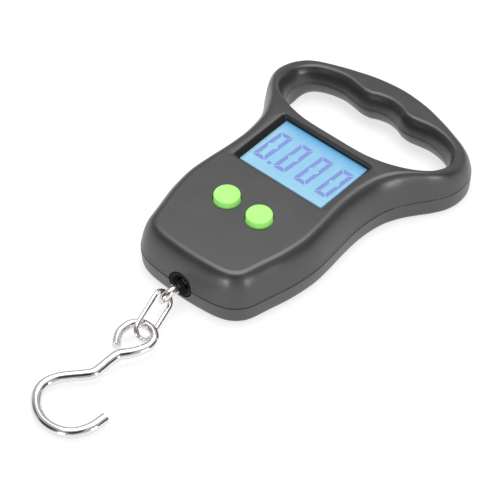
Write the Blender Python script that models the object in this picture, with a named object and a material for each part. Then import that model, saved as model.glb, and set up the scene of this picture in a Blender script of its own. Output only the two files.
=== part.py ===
"""Hanging hand scale: two-part case with a finger handle, display, buttons, weighing cell and hook.

X runs to the right as the display is read, Y towards the handle and Z out of the display.
The flat back lies on Z = 0 and the origin is the middle of the footprint. Lengths are in
millimetres up to the point where a shape is made. Y is given from the wall that the eye bolt
comes out of, and EXIT_Y moves it into the object's frame.
"""
import math

import bmesh
import bpy
from mathutils import Matrix, Vector

MM = 0.001
EXIT_Y = -26.0
GAP = 0.3

# Case
PARTING_Z = 8.0
CASE_TOP_Z = 21.6
WALL = 2.0
LIP_OUTSIDE = 1.35
LIP_INSIDE = 2.35
LIP_TOP_Z = 9.3
REBATE = 1.0
REBATE_TOP_Z = 9.7
CEILING_Z = 19.4
POST_TOP_Z = 20.0
GRIP_START_Y = 88.0
FINGER_SIDE = (108.0, 116.0)
GRIP_HEIGHT = 0.55
GRIP_INSET = 0.62
NEAR_EDGE_INSET = 0.25
EXIT_RADIUS = 5.5

# Half outlines (x, y) at the parting line, mirrored to the other side
OUTER_HALF = [(0, 0), (10.2, 0.4), (16.8, 1.3), (21.5, 3.0), (25.0, 5.9), (27.3, 9.8), (29.3, 17.4),
              (31.8, 27.5), (33.1, 38.5), (32.6, 48), (31.5, 58), (31.0, 68), (32.2, 78),
              (35.0, 85.3), (38.5, 91), (42.4, 96.4), (45.4, 102), (46.5, 108), (45.4, 114.5),
              (42, 119.7), (36.8, 123.3), (28.1, 126.8), (21, 129.1), (12, 131.4), (0, 132.6)]
OPENING_HALF = [(0, 88.6), (12, 88.7), (18, 89.4), (24, 91.0), (29.3, 93.8), (33.2, 97.3),
                (35.9, 101.2), (37.2, 105.5), (37.1, 109.5), (35.6, 112.6), (33.3, 115),
                (29.5, 116.9), (25.3, 118.0), (21, 118.4), (16.5, 117.8), (12, 117.1),
                (8, 117.5), (4.5, 118.9), (0, 119.7)]

# Shoulder of the front shell: (inset, z)
SHOULDER = [(0, PARTING_Z + GAP / 2), (0.8, 12.5), (1.7, 16.0), (2.8, 18.6), (4.4, 20.7),
            (6.5, CASE_TOP_Z)]

# Edge of the back shell: (inset, inset under the fingers, z)
BACK_EDGE = [(0, 0, PARTING_Z - GAP / 2), (0.15, 0.5, 5.5), (0.3, 1.4, 3.5), (0.5, 2.8, 1.8),
             (1.0, 4.2, 0.6), (1.9, 5.6, 0.0)]
BACK_CAVITY = [(0, 0, LIP_TOP_Z + 0.5), (0, 0.5, 5.5), (0, 1.4, 3.5), (0, 2.6, WALL)]

# Display
DISPLAY_Y = 70.0
WINDOW = (40.4, 27.2)
WINDOW_TOP = (44.4, 30.0)
WINDOW_TOP_SHIFT = -0.5

# Buttons
BUTTON_X = 8.0
BUTTON_Y = 35.5
BUTTON_RADIUS = 5.05
BUTTON_TOP_Z = 24.3

# Board
BOARD_BOTTOM_Z = 12.9
BOARD_TOP_Z = 14.5

# Fasteners
CASE_SCREWS = [(17, 10), (26, 46), (41.9, 107)]
BOARD_SCREWS = [(-19, 29.5), (19, 29.5)]

# Battery bay
BAY_Y = 68.5
CELL_RADIUS = 5.25
CELL_PITCH = 11.4
CELL_Z = 7.1
DOOR = (52.8, 23.4)

# Weighing rod, link and hook
ROD_RADIUS = 1.65
NECK_RADIUS = 2.05
EYE_RADIUS = 3.45
EYE_Y = -5.87
EYE_TURN = math.radians(30.4)
LINK_WIRE = 1.0
LINK_HALF_WIDTH = 3.78
LINK_LENGTH = 21.77
LINK_START = (-0.57, -6.36, 8.08)
LINK_YAW = math.radians(14.65)
LINK_PITCH = math.radians(8.31)
LINK_ROLL = math.radians(49.09)
HOOK_WIRE = 2.1
HOOK_EYE_WIRE = 1.75
HOOK_PIVOT = (3.4, -20.75, 5.40)
HOOK_PLANE_Z = 5.68
HOOK_PITCH = math.radians(3.55)
HOOK_ROLL = math.radians(0.62)
HOOK_PATH = [(21.1, -62.8), (20.3, -68.7), (18.3, -73.2), (15.2, -76.3), (10.5, -78.1), (4.9, -78.0),
             (-0.1, -76.0), (-4.2, -72.5), (-6.5, -68.9), (-7.0, -64.7), (-5.3, -60.4), (-2.6, -57.1),
             (1.0, -53.4), (3.4, -50.4), (3.9, -46.7), (4.0, -42.9), (4.6, -38.6), (7.4, -34.9),
             (9.3, -31.6), (10.5, -27.8), (9.4, -24.0), (5.8, -21.6), (1.2, -21.8), (-2.0, -24.6),
             (-2.6, -29.4), (-1.1, -32.8), (1.0, -35.5)]


def clear_scene():
    for item in list(bpy.data.objects):
        bpy.data.objects.remove(item, do_unlink=True)


def material(name, colour, roughness, metallic=0.0, alpha=1.0):
    made = bpy.data.materials.new(name)
    made.use_nodes = True
    shader = made.node_tree.nodes["Principled BSDF"]
    shader.inputs["Base Color"].default_value = (*colour, 1.0)
    shader.inputs["Roughness"].default_value = roughness
    shader.inputs["Metallic"].default_value = metallic
    shader.inputs["Alpha"].default_value = alpha
    return made


def place(x, y, z):
    """A point of the case, in the object's frame in metres."""
    return Vector((x, y + EXIT_Y, z)) * MM


def smooth_step(low, high, value):
    t = min(max((value - low) / (high - low), 0.0), 1.0)
    return t * t * (3.0 - 2.0 * t)


def make_object(name, bm, origin=(0.0, -EXIT_Y, 0.0), finish=None):
    """Turn a bmesh in metres into an object whose origin is the given point of the case."""
    centre = place(*origin)
    bmesh.ops.translate(bm, vec=-centre, verts=bm.verts)
    mesh = bpy.data.meshes.new(name)
    bm.to_mesh(mesh)
    bm.free()
    made = bpy.data.objects.new(name, mesh)
    made.location = centre
    bpy.context.scene.collection.objects.link(made)
    if finish is not None:
        made.data.materials.append(finish)
        mesh.shade_smooth()
        mesh.set_sharp_from_angle(angle=math.radians(32))
    return made


def boolean(target, tool, operation):
    """Apply one Boolean and drop its tool."""
    step = target.modifiers.new("cut", "BOOLEAN")
    step.operation = operation
    step.solver = "EXACT"
    step.object = tool
    evaluated = target.evaluated_get(bpy.context.evaluated_depsgraph_get())
    result = bpy.data.meshes.new_from_object(evaluated)
    target.modifiers.clear()
    target.data = result
    result.shade_smooth()
    result.set_sharp_from_angle(angle=math.radians(32))
    bpy.data.objects.remove(tool, do_unlink=True)


def box_mesh(low, high):
    bm = bmesh.new()
    bmesh.ops.create_cube(bm, size=1.0)
    size = Vector(high) - Vector(low)
    middle = (Vector(high) + Vector(low)) / 2
    bmesh.ops.scale(bm, vec=size * MM, verts=bm.verts)
    bmesh.ops.translate(bm, vec=place(*middle), verts=bm.verts)
    return bm


def box(name, low, high, finish=None):
    return make_object(name, box_mesh(low, high), finish=finish)


def framed_box(name, low, high, wall, finish):
    """A rectangular frame, open at its top and bottom."""
    frame = box(name, low, high, finish)
    inside_low = (low[0] + wall, low[1] + wall, low[2] - 1)
    inside_high = (high[0] - wall, high[1] - wall, high[2] + 1)
    boolean(frame, box("inside", inside_low, inside_high), "DIFFERENCE")
    return frame


def turned_mesh(profile, segments, axis, base):
    """Spin a closed (radius, height) profile about an axis through a point of the case."""
    bm = bmesh.new()
    ring = [bm.verts.new((radius * MM, 0, height * MM)) for radius, height in profile]
    edges = [bm.edges.new(pair) for pair in zip(ring, ring[1:])]
    if profile[0][0] > 0:
        edges.append(bm.edges.new((ring[-1], ring[0])))
    bmesh.ops.spin(bm, geom=ring + edges, cent=(0, 0, 0), axis=(0, 0, 1), angle=2 * math.pi,
                   steps=segments, use_merge=True)
    bmesh.ops.remove_doubles(bm, verts=bm.verts, dist=1e-7)
    bmesh.ops.recalc_face_normals(bm, faces=bm.faces)
    turn = Vector((0, 0, 1)).rotation_difference(Vector(axis)).to_matrix()
    bmesh.ops.rotate(bm, cent=(0, 0, 0), matrix=turn, verts=bm.verts)
    bmesh.ops.translate(bm, vec=place(*base), verts=bm.verts)
    return bm


def turned(name, profile, axis=(0, 0, 1), base=(0, 0, 0), finish=None, segments=24, origin=None):
    bm = turned_mesh(profile, segments, axis, base)
    return make_object(name, bm, origin=base if origin is None else origin, finish=finish)


def rod_profile(radius, low, high):
    return [(0, low), (radius, low), (radius, high), (0, high)]


def wire(name, points, radius, finish, origin, closed=False, sides=3):
    """A round wire along points of the case, as a curve with a bevel."""
    curve = bpy.data.curves.new(name, "CURVE")
    curve.dimensions = "3D"
    curve.bevel_depth = radius * MM
    curve.bevel_resolution = sides
    curve.use_fill_caps = not closed
    spline = curve.splines.new("POLY")
    spline.points.add(len(points) - 1)
    spline.use_cyclic_u = closed
    centre = place(*origin)
    for knot, point in zip(spline.points, points):
        knot.co = (*(place(*point) - centre), 1.0)
    made = bpy.data.objects.new(name, curve)
    made.location = centre
    curve.materials.append(finish)
    bpy.context.scene.collection.objects.link(made)
    return made


def between(before, start, end, after, t):
    """Point of a Catmull-Rom span from start to end."""
    cubic = 3 * start - 3 * end + after - before
    square = 2 * before - 5 * start + 4 * end - after
    return 0.5 * (2 * start + (end - before) * t + square * t ** 2 + cubic * t ** 3)


def closed_outline(half, steps):
    """Smooth closed outline through a half outline and its mirror image."""
    right = [Vector(point) for point in half]
    left = [Vector((-point.x, point.y)) for point in reversed(right[1:-1])]
    knots = right + left
    count = len(knots)
    outline = []
    for i in range(count):
        span = (knots[i - 1], knots[i], knots[(i + 1) % count], knots[(i + 2) % count])
        outline += [between(*span, step / steps) for step in range(steps)]
    return outline


def open_path(points, steps):
    """Smooth open path through the points."""
    knots = [Vector(point) for point in points]
    knots = [2 * knots[0] - knots[1]] + knots + [2 * knots[-1] - knots[-2]]
    path = []
    for i in range(1, len(knots) - 2):
        path += [between(*knots[i - 1:i + 3], step / steps) for step in range(steps)]
    return path + [knots[-2]]


def inward(outline):
    """Unit normals that point to the left of an outline's direction of travel."""
    count = len(outline)
    normals = []
    for i in range(count):
        along = (outline[(i + 1) % count] - outline[i - 1]).normalized()
        normals.append(Vector((-along.y, along.x)))
    return normals


def outer_factor(y):
    """Share of the shoulder's inset that the outer edge keeps at y."""
    return 1.0 - (1.0 - GRIP_INSET) * smooth_step(78, 98, y)


def opening_factor(y):
    """Share of the shoulder's inset that the finger opening's edge keeps at y."""
    return NEAR_EDGE_INSET + (GRIP_INSET - NEAR_EDGE_INSET) * smooth_step(89, 102, y)


def case_height(y, z):
    """The front falls away from the display to the slimmer grip."""
    if z <= PARTING_Z:
        return z
    share = 1.0 - (1.0 - GRIP_HEIGHT) * smooth_step(86, 118, y)
    return PARTING_Z + (z - PARTING_Z) * share


def outer_inset(y, level):
    """How far a level lies inside the case's outer outline at y."""
    return level[0] * outer_factor(y) + level[3]


def opening_inset(y, level):
    """How far a level lies inside the finger opening's outline at y, rounder under the fingers."""
    share = smooth_step(FINGER_SIDE[0], FINGER_SIDE[1], y)
    plain = level[0] * opening_factor(y)
    return plain + (level[1] - plain) * share + level[3]


def ring_point(point, normal, inset, z):
    """Point of a case ring: the outline's point moved in by the inset."""
    moved = point + normal * inset
    return place(moved.x, moved.y, z)


def case_block(name, levels, steps, finish=None):
    """Closed block between the outer edge and the finger opening.

    Each level is (inset, inset at the fingers' side of the opening, z, wall): the block's edge
    lies the inset plus the wall inside the case's outline.
    """
    bm = bmesh.new()
    place_in_ring = bm.verts.layers.int.new("place")
    first_edges = []
    last_edges = []
    for half, sign, inset in ((OUTER_HALF, 1, outer_inset), (OPENING_HALF, -1, opening_inset)):
        outline = closed_outline(half, steps)
        normals = [normal * sign for normal in inward(outline)]
        ring = []
        for index, (point, normal) in enumerate(zip(outline, normals)):
            vert = bm.verts.new(ring_point(point, normal, inset(point.y, levels[0]), levels[0][2]))
            vert[place_in_ring] = index
            ring.append(vert)
        edges = [bm.edges.new((ring[i - 1], ring[i])) for i in range(len(ring))]
        first_edges += edges
        for level in levels[1:]:
            grown = bmesh.ops.extrude_edge_only(bm, edges=edges)["geom"]
            verts = {item for item in grown if isinstance(item, bmesh.types.BMVert)}
            for vert in verts:
                point = outline[vert[place_in_ring]]
                normal = normals[vert[place_in_ring]]
                vert.co = ring_point(point, normal, inset(point.y, level), level[2])
            edges = [item for item in grown if isinstance(item, bmesh.types.BMEdge)
                     and item.verts[0] in verts and item.verts[1] in verts]
        last_edges += edges
    bmesh.ops.triangle_fill(bm, use_beauty=True, edges=first_edges)
    bmesh.ops.triangle_fill(bm, use_beauty=True, edges=last_edges)
    bmesh.ops.recalc_face_normals(bm, faces=bm.faces)
    for vert in bm.verts:
        vert.co.z = case_height(vert.co.y / MM - EXIT_Y, vert.co.z / MM) * MM
    return make_object(name, bm, finish=finish)


def mirrored(places):
    return [(x * side, y) for x, y in places for side in (-1, 1)]


def front_levels(section):
    """Levels of the front shell, whose edge is as round under the fingers as round the grip."""
    return [(inset, inset * GRIP_INSET, z, wall) for inset, z, wall in section]


def front_shell(plastic):
    levels = front_levels([(inset, z, 0.0) for inset, z in SHOULDER])
    shell = case_block("front_shell", levels, 2, plastic)
    cavity = [(0, PARTING_Z - 0.5, REBATE), (0.3, REBATE_TOP_Z, REBATE), (0.3, REBATE_TOP_Z, WALL),
              (1.7, 16.0, WALL), (2.6, 18.2, WALL), (3.2, CEILING_Z, WALL)]
    boolean(shell, case_block("cavity", front_levels(cavity), 1), "DIFFERENCE")
    for x, y in mirrored(CASE_SCREWS):
        top = case_height(y, POST_TOP_Z)
        radius = 2.2 if y > GRIP_START_Y else 3.0
        post = turned("post", rod_profile(radius, REBATE_TOP_Z, top), base=(x, y, 0), segments=12)
        boolean(shell, post, "UNION")
        hole = turned("hole", rod_profile(1.3, REBATE_TOP_Z - 1, top - 1.4), base=(x, y, 0), segments=10)
        boolean(shell, hole, "DIFFERENCE")
    for x, y in BOARD_SCREWS:
        post = turned("post", rod_profile(2.6, BOARD_TOP_Z + GAP, CEILING_Z + 0.6), base=(x, y, 0),
                      segments=12)
        boolean(shell, post, "UNION")
        hole = turned("hole", rod_profile(1.2, BOARD_TOP_Z, CEILING_Z - 1), base=(x, y, 0), segments=10)
        boolean(shell, hole, "DIFFERENCE")
    boolean(shell, window_cutter(), "DIFFERENCE")
    for side in (-1, 1):
        hole = turned("hole", rod_profile(BUTTON_RADIUS + 0.35, CEILING_Z - 1, CASE_TOP_Z + 1),
                      base=(side * BUTTON_X, BUTTON_Y, 0), segments=32)
        boolean(shell, hole, "DIFFERENCE")
    boolean(shell, exit_cutter(), "DIFFERENCE")
    return shell


def window_cutter():
    """Tapered window: narrow at the ceiling, wide at the top face."""
    low_z = CEILING_Z - 1.0
    high_z = CASE_TOP_Z + 1.0
    rise = CASE_TOP_Z - CEILING_Z
    bm = bmesh.new()
    bmesh.ops.create_cube(bm, size=1.0)
    for vert in bm.verts:
        z = high_z if vert.co.z > 0 else low_z
        t = (z - CEILING_Z) / rise
        width = WINDOW[0] + (WINDOW_TOP[0] - WINDOW[0]) * t
        depth = WINDOW[1] + (WINDOW_TOP[1] - WINDOW[1]) * t
        vert.co = place(vert.co.x * width, DISPLAY_Y + WINDOW_TOP_SHIFT * t + vert.co.y * depth, z)
    return make_object("window", bm)


def exit_cutter():
    return turned("exit", rod_profile(EXIT_RADIUS, -3.0, 5.0), axis=(0, 1, 0), base=(0, 0, PARTING_Z),
                  segments=32)


def back_shell(plastic):
    levels = [(inset, under_fingers, z, 0.0) for inset, under_fingers, z in BACK_EDGE]
    shell = case_block("back_shell", levels, 2, plastic)
    lip = [(0, 0, PARTING_Z - 1.0, LIP_OUTSIDE), (0, 0, LIP_TOP_Z, LIP_OUTSIDE)]
    boolean(shell, case_block("lip", lip, 1), "UNION")
    cavity = [(inset, under_fingers, z, LIP_INSIDE) for inset, under_fingers, z in BACK_CAVITY]
    boolean(shell, case_block("cavity", cavity, 1), "DIFFERENCE")
    for x, y in mirrored(CASE_SCREWS):
        radius = 2.3 if y > GRIP_START_Y else 3.2
        post = turned("post", rod_profile(radius, 1.0, LIP_TOP_Z - 0.1), base=(x, y, 0), segments=12)
        boolean(shell, post, "UNION")
        hole = turned("hole", [(0, -1), (2.2, -1), (2.2, 2.5), (1.4, 2.5), (1.4, 11), (0, 11)],
                      base=(x, y, 0), segments=14)
        boolean(shell, hole, "DIFFERENCE")
    half_x = DOOR[0] / 2 + GAP
    half_y = DOOR[1] / 2 + GAP
    boolean(shell, box("bay", (-half_x, BAY_Y - half_y, -1), (half_x, BAY_Y + half_y, 3)), "DIFFERENCE")
    boolean(shell, exit_cutter(), "DIFFERENCE")
    return shell


def battery_door(plastic):
    """Flush door that turns on the edge nearer the hook, with two tongues inside the case."""
    half_x = DOOR[0] / 2
    low_y = BAY_Y - DOOR[1] / 2
    high_y = BAY_Y + DOOR[1] / 2
    hinge = (0, low_y - GAP, 0)
    bm = box_mesh((-half_x, low_y, 0.05), (half_x, high_y, 1.75))
    door = make_object("battery_door", bm, origin=hinge, finish=plastic)
    for side in (-1, 1):
        foot = box("foot", (side * 17 - 3, low_y + 0.2, 1.0), (side * 17 + 3, low_y + 2.2, 3.4))
        boolean(door, foot, "UNION")
        tongue = box("tongue", (side * 17 - 3, low_y - 1.8, 2.35), (side * 17 + 3, low_y + 1.0, 3.4))
        boolean(door, tongue, "UNION")
    for step in range(3):
        y = high_y - 3.2 - 1.8 * step
        groove = box("groove", (-6, y - 0.45, -1), (6, y + 0.45, 0.6))
        boolean(door, groove, "DIFFERENCE")
    return door


def display(glass, crystal, guide, dark, rubber):
    half_x, half_y = 21.6, 14.4
    box("display_lens", (-half_x, DISPLAY_Y - half_y, 18.6), (half_x, DISPLAY_Y + half_y, 19.1), glass)
    box("lcd_panel", (-half_x, DISPLAY_Y - half_y, 17.2), (half_x, DISPLAY_Y + half_y, 18.3), crystal)
    box("backlight_panel", (-half_x, DISPLAY_Y - half_y + 3.2, 14.8), (half_x, DISPLAY_Y + half_y, 16.9),
        guide)
    box("zebra_strip", (-20.5, DISPLAY_Y - half_y + 0.4, 14.8), (20.5, DISPLAY_Y - half_y + 2.6, 16.9),
        rubber)
    wall = 0.9
    reach_x = half_x + GAP + wall
    reach_y = half_y + GAP + wall
    framed_box("display_frame", (-reach_x, DISPLAY_Y - reach_y, 14.8), (reach_x, DISPLAY_Y + reach_y, 19.0),
               wall, dark)


def buttons(green, dark, steel):
    cap = [(0, 18.2), (6.3, 18.2), (6.3, 19.05), (BUTTON_RADIUS, 19.05), (BUTTON_RADIUS, 23.1),
           (4.85, 23.65), (4.4, 24.0), (3.4, 24.15), (0, BUTTON_TOP_Z)]
    for label, side in (("left", -1), ("right", 1)):
        spot = (side * BUTTON_X, BUTTON_Y, 0)
        turned(label + "_button", cap, base=spot, finish=green, segments=24)
        turned(label + "_plunger", rod_profile(1.6, 16.0, 17.9), base=spot, finish=dark, segments=12)
        switch = box(label + "_switch", (spot[0] - 3, spot[1] - 3, BOARD_TOP_Z + GAP),
                     (spot[0] + 3, spot[1] + 3, 16.5), steel)
        boolean(switch, turned("well", rod_profile(1.9, 15.1, 18), base=spot, segments=16), "DIFFERENCE")


def electronics(board, chip, foil, copper, steel):
    plate = box("circuit_board", (-22, 26.5, BOARD_BOTTOM_Z), (22, 84, BOARD_TOP_Z), board)
    for x, y in BOARD_SCREWS:
        hole = turned("hole", rod_profile(1.5, BOARD_BOTTOM_Z - 1, BOARD_TOP_Z + 1), base=(x, y, 0),
                      segments=16)
        boolean(plate, hole, "DIFFERENCE")
    box("controller_chip", (-16, 38, 11.2), (-9, 45, BOARD_BOTTOM_Z - GAP), chip)
    turned("buzzer", rod_profile(4.5, 9.4, BOARD_BOTTOM_Z - GAP), base=(14, 42, 0), finish=chip)
    for number, (x, y) in enumerate(BOARD_SCREWS, 1):
        profile = [(0, 11.2), (2.2, 11.2), (2.2, 12.6), (0.9, 12.6), (0.9, 17.6), (0, 17.6)]
        turned("board_screw_%d" % number, profile, base=(x, y, 0), finish=steel, segments=12)
    box("strain_gauge_top", (-2.5, 27, 12.0), (2.5, 35, 12.3), foil)
    box("strain_gauge_bottom", (-2.5, 27, 3.7), (2.5, 35, 4.0), foil)
    leads = [(2.9, 31, 12.35), (5.2, 31, 12.4), (7.4, 31.6, 11.9), (9.4, 33.2, 11.2), (10.6, 34.6, 11.3),
             (11.2, 35.6, 12.4)]
    wire("gauge_leads", open_path(leads, 2), 0.3, copper, leads[0], sides=2)


def load_cell(aluminium, steel):
    """Bending beam with a dumbbell cut, clamped at the far end."""
    beam = box("load_cell", (-6, 8, 4.2), (6, 54, 11.8), aluminium)
    for y in (26.5, 35.5):
        cut = turned("cut", rod_profile(2.6, -7, 7), axis=(1, 0, 0), base=(0, y, PARTING_Z), segments=20)
        boolean(beam, cut, "DIFFERENCE")
    boolean(beam, box("slot", (-7, 26.5, 7.4), (7, 35.5, 8.6)), "DIFFERENCE")
    bore = turned("bore", rod_profile(1.95, -1, 11), axis=(0, 1, 0), base=(0, 8, PARTING_Z), segments=16)
    boolean(beam, bore, "DIFFERENCE")
    for number, y in enumerate((44, 50), 1):
        hole = turned("hole", rod_profile(1.7, 2, 13), base=(0, y, 0), segments=16)
        boolean(beam, hole, "DIFFERENCE")
        profile = [(0, 2.4), (1.4, 2.4), (1.4, 12.1), (2.6, 12.1), (2.6, 12.6), (0, 12.6)]
        turned("cell_screw_%d" % number, profile, base=(0, y, 0), finish=steel, segments=16)


def eye_bolt(steel):
    """Threaded rod with a closed ring at its end, turned about its own length."""
    bm = bmesh.new()
    centre = (0, EYE_Y, PARTING_Z)
    sides = 12
    section = bmesh.ops.create_circle(bm, cap_ends=False, radius=ROD_RADIUS * MM, segments=sides)
    edges = list({edge for vert in section["verts"] for edge in vert.link_edges})
    bmesh.ops.rotate(bm, cent=(0, 0, 0), matrix=Matrix.Rotation(math.pi / 2, 3, "X"), verts=bm.verts)
    bmesh.ops.translate(bm, vec=(EYE_RADIUS * MM, 0, 0), verts=bm.verts)
    bmesh.ops.spin(bm, geom=list(bm.verts) + edges, cent=(0, 0, 0), axis=(0, 0, 1), angle=2 * math.pi,
                   steps=28, use_merge=True)
    bmesh.ops.remove_doubles(bm, verts=bm.verts, dist=1e-7)
    bmesh.ops.recalc_face_normals(bm, faces=bm.faces)
    bmesh.ops.rotate(bm, cent=(0, 0, 0), matrix=Matrix.Rotation(math.pi / 2, 3, "Y"), verts=bm.verts)
    bmesh.ops.rotate(bm, cent=(0, 0, 0), matrix=Matrix.Rotation(EYE_TURN, 3, "Y"), verts=bm.verts)
    bmesh.ops.translate(bm, vec=place(*centre), verts=bm.verts)
    bolt = make_object("eye_bolt", bm, origin=centre, finish=steel)
    neck_end = EYE_RADIUS + 3.8
    profile = [(0, EYE_RADIUS), (NECK_RADIUS, EYE_RADIUS), (NECK_RADIUS, neck_end),
               (ROD_RADIUS, neck_end + 0.4), (ROD_RADIUS, 23.5), (0, 23.5)]
    neck = turned("neck", profile, axis=(0, 1, 0), base=centre, segments=12)
    boolean(bolt, neck, "UNION")
    nut = turned("eye_nut", [(2.0, 4.7), (3.7, 4.7), (3.7, 7.6), (2.0, 7.6)], axis=(0, 1, 0),
                 base=(0, 0, PARTING_Z), finish=steel, segments=6)
    return bolt, nut


def exit_bush(rubber):
    outside = EXIT_RADIUS - GAP
    profile = [(4.2, 0.7), (4.8, 0.3), (outside, 0.3), (outside, 4.2), (3.0, 4.2), (3.0, 1.9)]
    turned("exit_bush", profile, axis=(0, 1, 0), base=(0, 0, PARTING_Z), finish=rubber, segments=24)


def link_axes():
    """Direction from the eye to the hook, and the direction across the link."""
    down = math.sin(LINK_PITCH)
    level = math.cos(LINK_PITCH)
    along = Vector((math.sin(LINK_YAW) * level, -math.cos(LINK_YAW) * level, -down))
    flat = Vector((math.cos(LINK_YAW), math.sin(LINK_YAW), 0))
    up = along.cross(flat)
    if up.z < 0:
        up = -up
    across = flat * math.cos(LINK_ROLL) - up * math.sin(LINK_ROLL)
    return along, across


def chain_link(steel):
    """Oval link: two half circles joined by straight legs."""
    along, across = link_axes()
    start = Vector(LINK_START)
    turns = 12
    points = []
    for end, distance in ((1, LINK_HALF_WIDTH), (-1, LINK_LENGTH - LINK_HALF_WIDTH)):
        centre = start + along * distance
        for step in range(turns + 1):
            angle = math.pi * step / turns
            side = -across * math.cos(angle) * end
            points.append(centre + (side - along * math.sin(angle) * end) * LINK_HALF_WIDTH)
    wire("chain_link", points, LINK_WIRE, steel, (0, EYE_Y, PARTING_Z), closed=True, sides=3)


def hook(steel):
    """Bent wire hook, lying at a slight slope, with a teardrop eye of slimmer wire."""
    pivot = Vector(HOOK_PIVOT)
    points = []
    for point in open_path(HOOK_PATH, 2):
        offset = point - pivot.xy
        height = HOOK_PLANE_Z + offset.y * math.tan(HOOK_PITCH) + offset.x * math.tan(HOOK_ROLL)
        points.append(Vector((point.x, point.y, height)))
    made = wire("hook", points, HOOK_WIRE, steel, HOOK_PIVOT, sides=3)
    knots = made.data.splines[0].points
    for index, knot in enumerate(knots):
        slimmer = smooth_step(0.62, 0.74, index / (len(knots) - 1))
        knot.radius = 1.0 - (1.0 - HOOK_EYE_WIRE / HOOK_WIRE) * slimmer


def battery_bay(plastic, cell_finish, brass, spring_steel):
    tray_x, tray_y = 26.2, 12.9
    framed_box("battery_tray", (-tray_x, BAY_Y - tray_y, 3.8), (tray_x, BAY_Y + tray_y, 12.4), 1.2, plastic)
    cell = [(0, 0), (4.9, 0), (CELL_RADIUS, 0.5), (CELL_RADIUS, 43.0), (4.8, 43.5), (1.9, 43.5),
            (1.9, 44.5), (0, 44.5)]
    spring = [(0, 0), (3.6, 0), (3.6, 0.7), (2.2, 3.9), (0, 3.9)]
    for number, side in ((1, 1), (2, -1)):
        y = BAY_Y + side * CELL_PITCH / 2
        turned("battery_%d" % number, cell, axis=(side, 0, 0), base=(side * -20.2, y, CELL_Z),
               finish=cell_finish, segments=16)
        turned("battery_spring_%d" % number, spring, axis=(side, 0, 0), base=(side * -24.4, y, CELL_Z),
               finish=spring_steel, segments=12)
    for name, side in (("battery_bus", 1), ("battery_terminals", -1)):
        inner, outer = sorted((side * 24.65, side * 24.9))
        box(name, (inner, BAY_Y - 10.5, 4.4), (outer, BAY_Y + 10.5, 10.4), brass)


def case_screws(steel):
    for number, (x, y) in enumerate(mirrored(CASE_SCREWS), 1):
        top = case_height(y, POST_TOP_Z) - 1.9
        profile = [(0, 0.9), (1.9, 0.9), (1.9, 2.2), (1.0, 2.2), (1.0, top), (0, top)]
        turned("case_screw_%d" % number, profile, base=(x, y, 0), finish=steel, segments=12)


def main():
    clear_scene()
    grey = material("grey_plastic", (0.105, 0.105, 0.107), 0.5)
    black = material("black_plastic", (0.02, 0.02, 0.02), 0.5)
    green = material("green_plastic", (0.42, 0.95, 0.30), 0.4)
    glass = material("clear_lens", (0.9, 0.95, 1.0), 0.05, alpha=0.35)
    crystal = material("display_face", (0.35, 0.70, 1.0), 0.2)
    guide = material("light_guide", (0.8, 0.9, 1.0), 0.3)
    rubber = material("black_rubber", (0.015, 0.015, 0.015), 0.8)
    board = material("board_green", (0.02, 0.16, 0.06), 0.4)
    chip = material("chip_black", (0.02, 0.02, 0.02), 0.35)
    foil = material("gauge_foil", (0.6, 0.42, 0.12), 0.35)
    copper = material("lead_red", (0.5, 0.03, 0.02), 0.4)
    aluminium = material("aluminium", (0.75, 0.76, 0.78), 0.35, 1.0)
    steel = material("polished_steel", (0.82, 0.82, 0.83), 0.12, 1.0)
    screw_steel = material("screw_steel", (0.6, 0.6, 0.62), 0.3, 1.0)
    brass = material("contact_plate", (0.75, 0.70, 0.55), 0.3, 1.0)
    cell = material("cell_sleeve", (0.55, 0.56, 0.58), 0.3, 0.6)
    front_shell(grey)
    back_shell(grey)
    battery_door(grey)
    display(glass, crystal, guide, black, rubber)
    buttons(green, black, screw_steel)
    electronics(board, chip, foil, copper, screw_steel)
    load_cell(aluminium, screw_steel)
    eye_bolt(steel)
    exit_bush(rubber)
    chain_link(steel)
    hook(steel)
    battery_bay(black, cell, brass, screw_steel)
    case_screws(screw_steel)


main()
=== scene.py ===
"""Looks of a hanging hand scale: moulded case, lit display, push buttons, link and hook.

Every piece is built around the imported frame. The functions that shape pieces take
millimetres, with X to the right as the display is read, Y measured from the wall that the
eye bolt comes out of, and Z up from the flat back. place() turns them into the frame's metres.
"""

import math

import bmesh
import bpy
from bpy.props import FloatProperty, FloatVectorProperty, PointerProperty
from bpy.types import Operator, Panel, PropertyGroup
from mathutils import Matrix, Vector


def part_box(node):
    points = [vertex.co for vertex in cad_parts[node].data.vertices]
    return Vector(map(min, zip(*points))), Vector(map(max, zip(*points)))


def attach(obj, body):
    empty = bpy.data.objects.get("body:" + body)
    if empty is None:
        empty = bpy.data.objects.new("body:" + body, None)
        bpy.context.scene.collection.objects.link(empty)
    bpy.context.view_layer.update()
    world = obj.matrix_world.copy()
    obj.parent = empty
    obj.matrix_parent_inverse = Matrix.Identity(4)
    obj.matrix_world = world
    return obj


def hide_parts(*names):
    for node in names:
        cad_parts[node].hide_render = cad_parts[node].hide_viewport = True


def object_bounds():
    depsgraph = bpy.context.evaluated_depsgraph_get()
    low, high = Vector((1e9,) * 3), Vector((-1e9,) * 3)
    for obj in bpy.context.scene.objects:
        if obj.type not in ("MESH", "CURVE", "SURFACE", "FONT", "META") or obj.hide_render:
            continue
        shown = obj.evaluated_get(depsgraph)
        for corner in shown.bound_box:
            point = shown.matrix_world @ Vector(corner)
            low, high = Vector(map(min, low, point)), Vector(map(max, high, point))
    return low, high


bl_info = {
    "name": "Hanging hand scale",
    "version": (1, 0, 0),
    "blender": (4, 5, 0),
    "location": "View3D > Sidebar > Scale",
    "description": "Builds the finished pieces of a hanging hand scale around its frame",
    "category": "Object",
}

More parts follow.
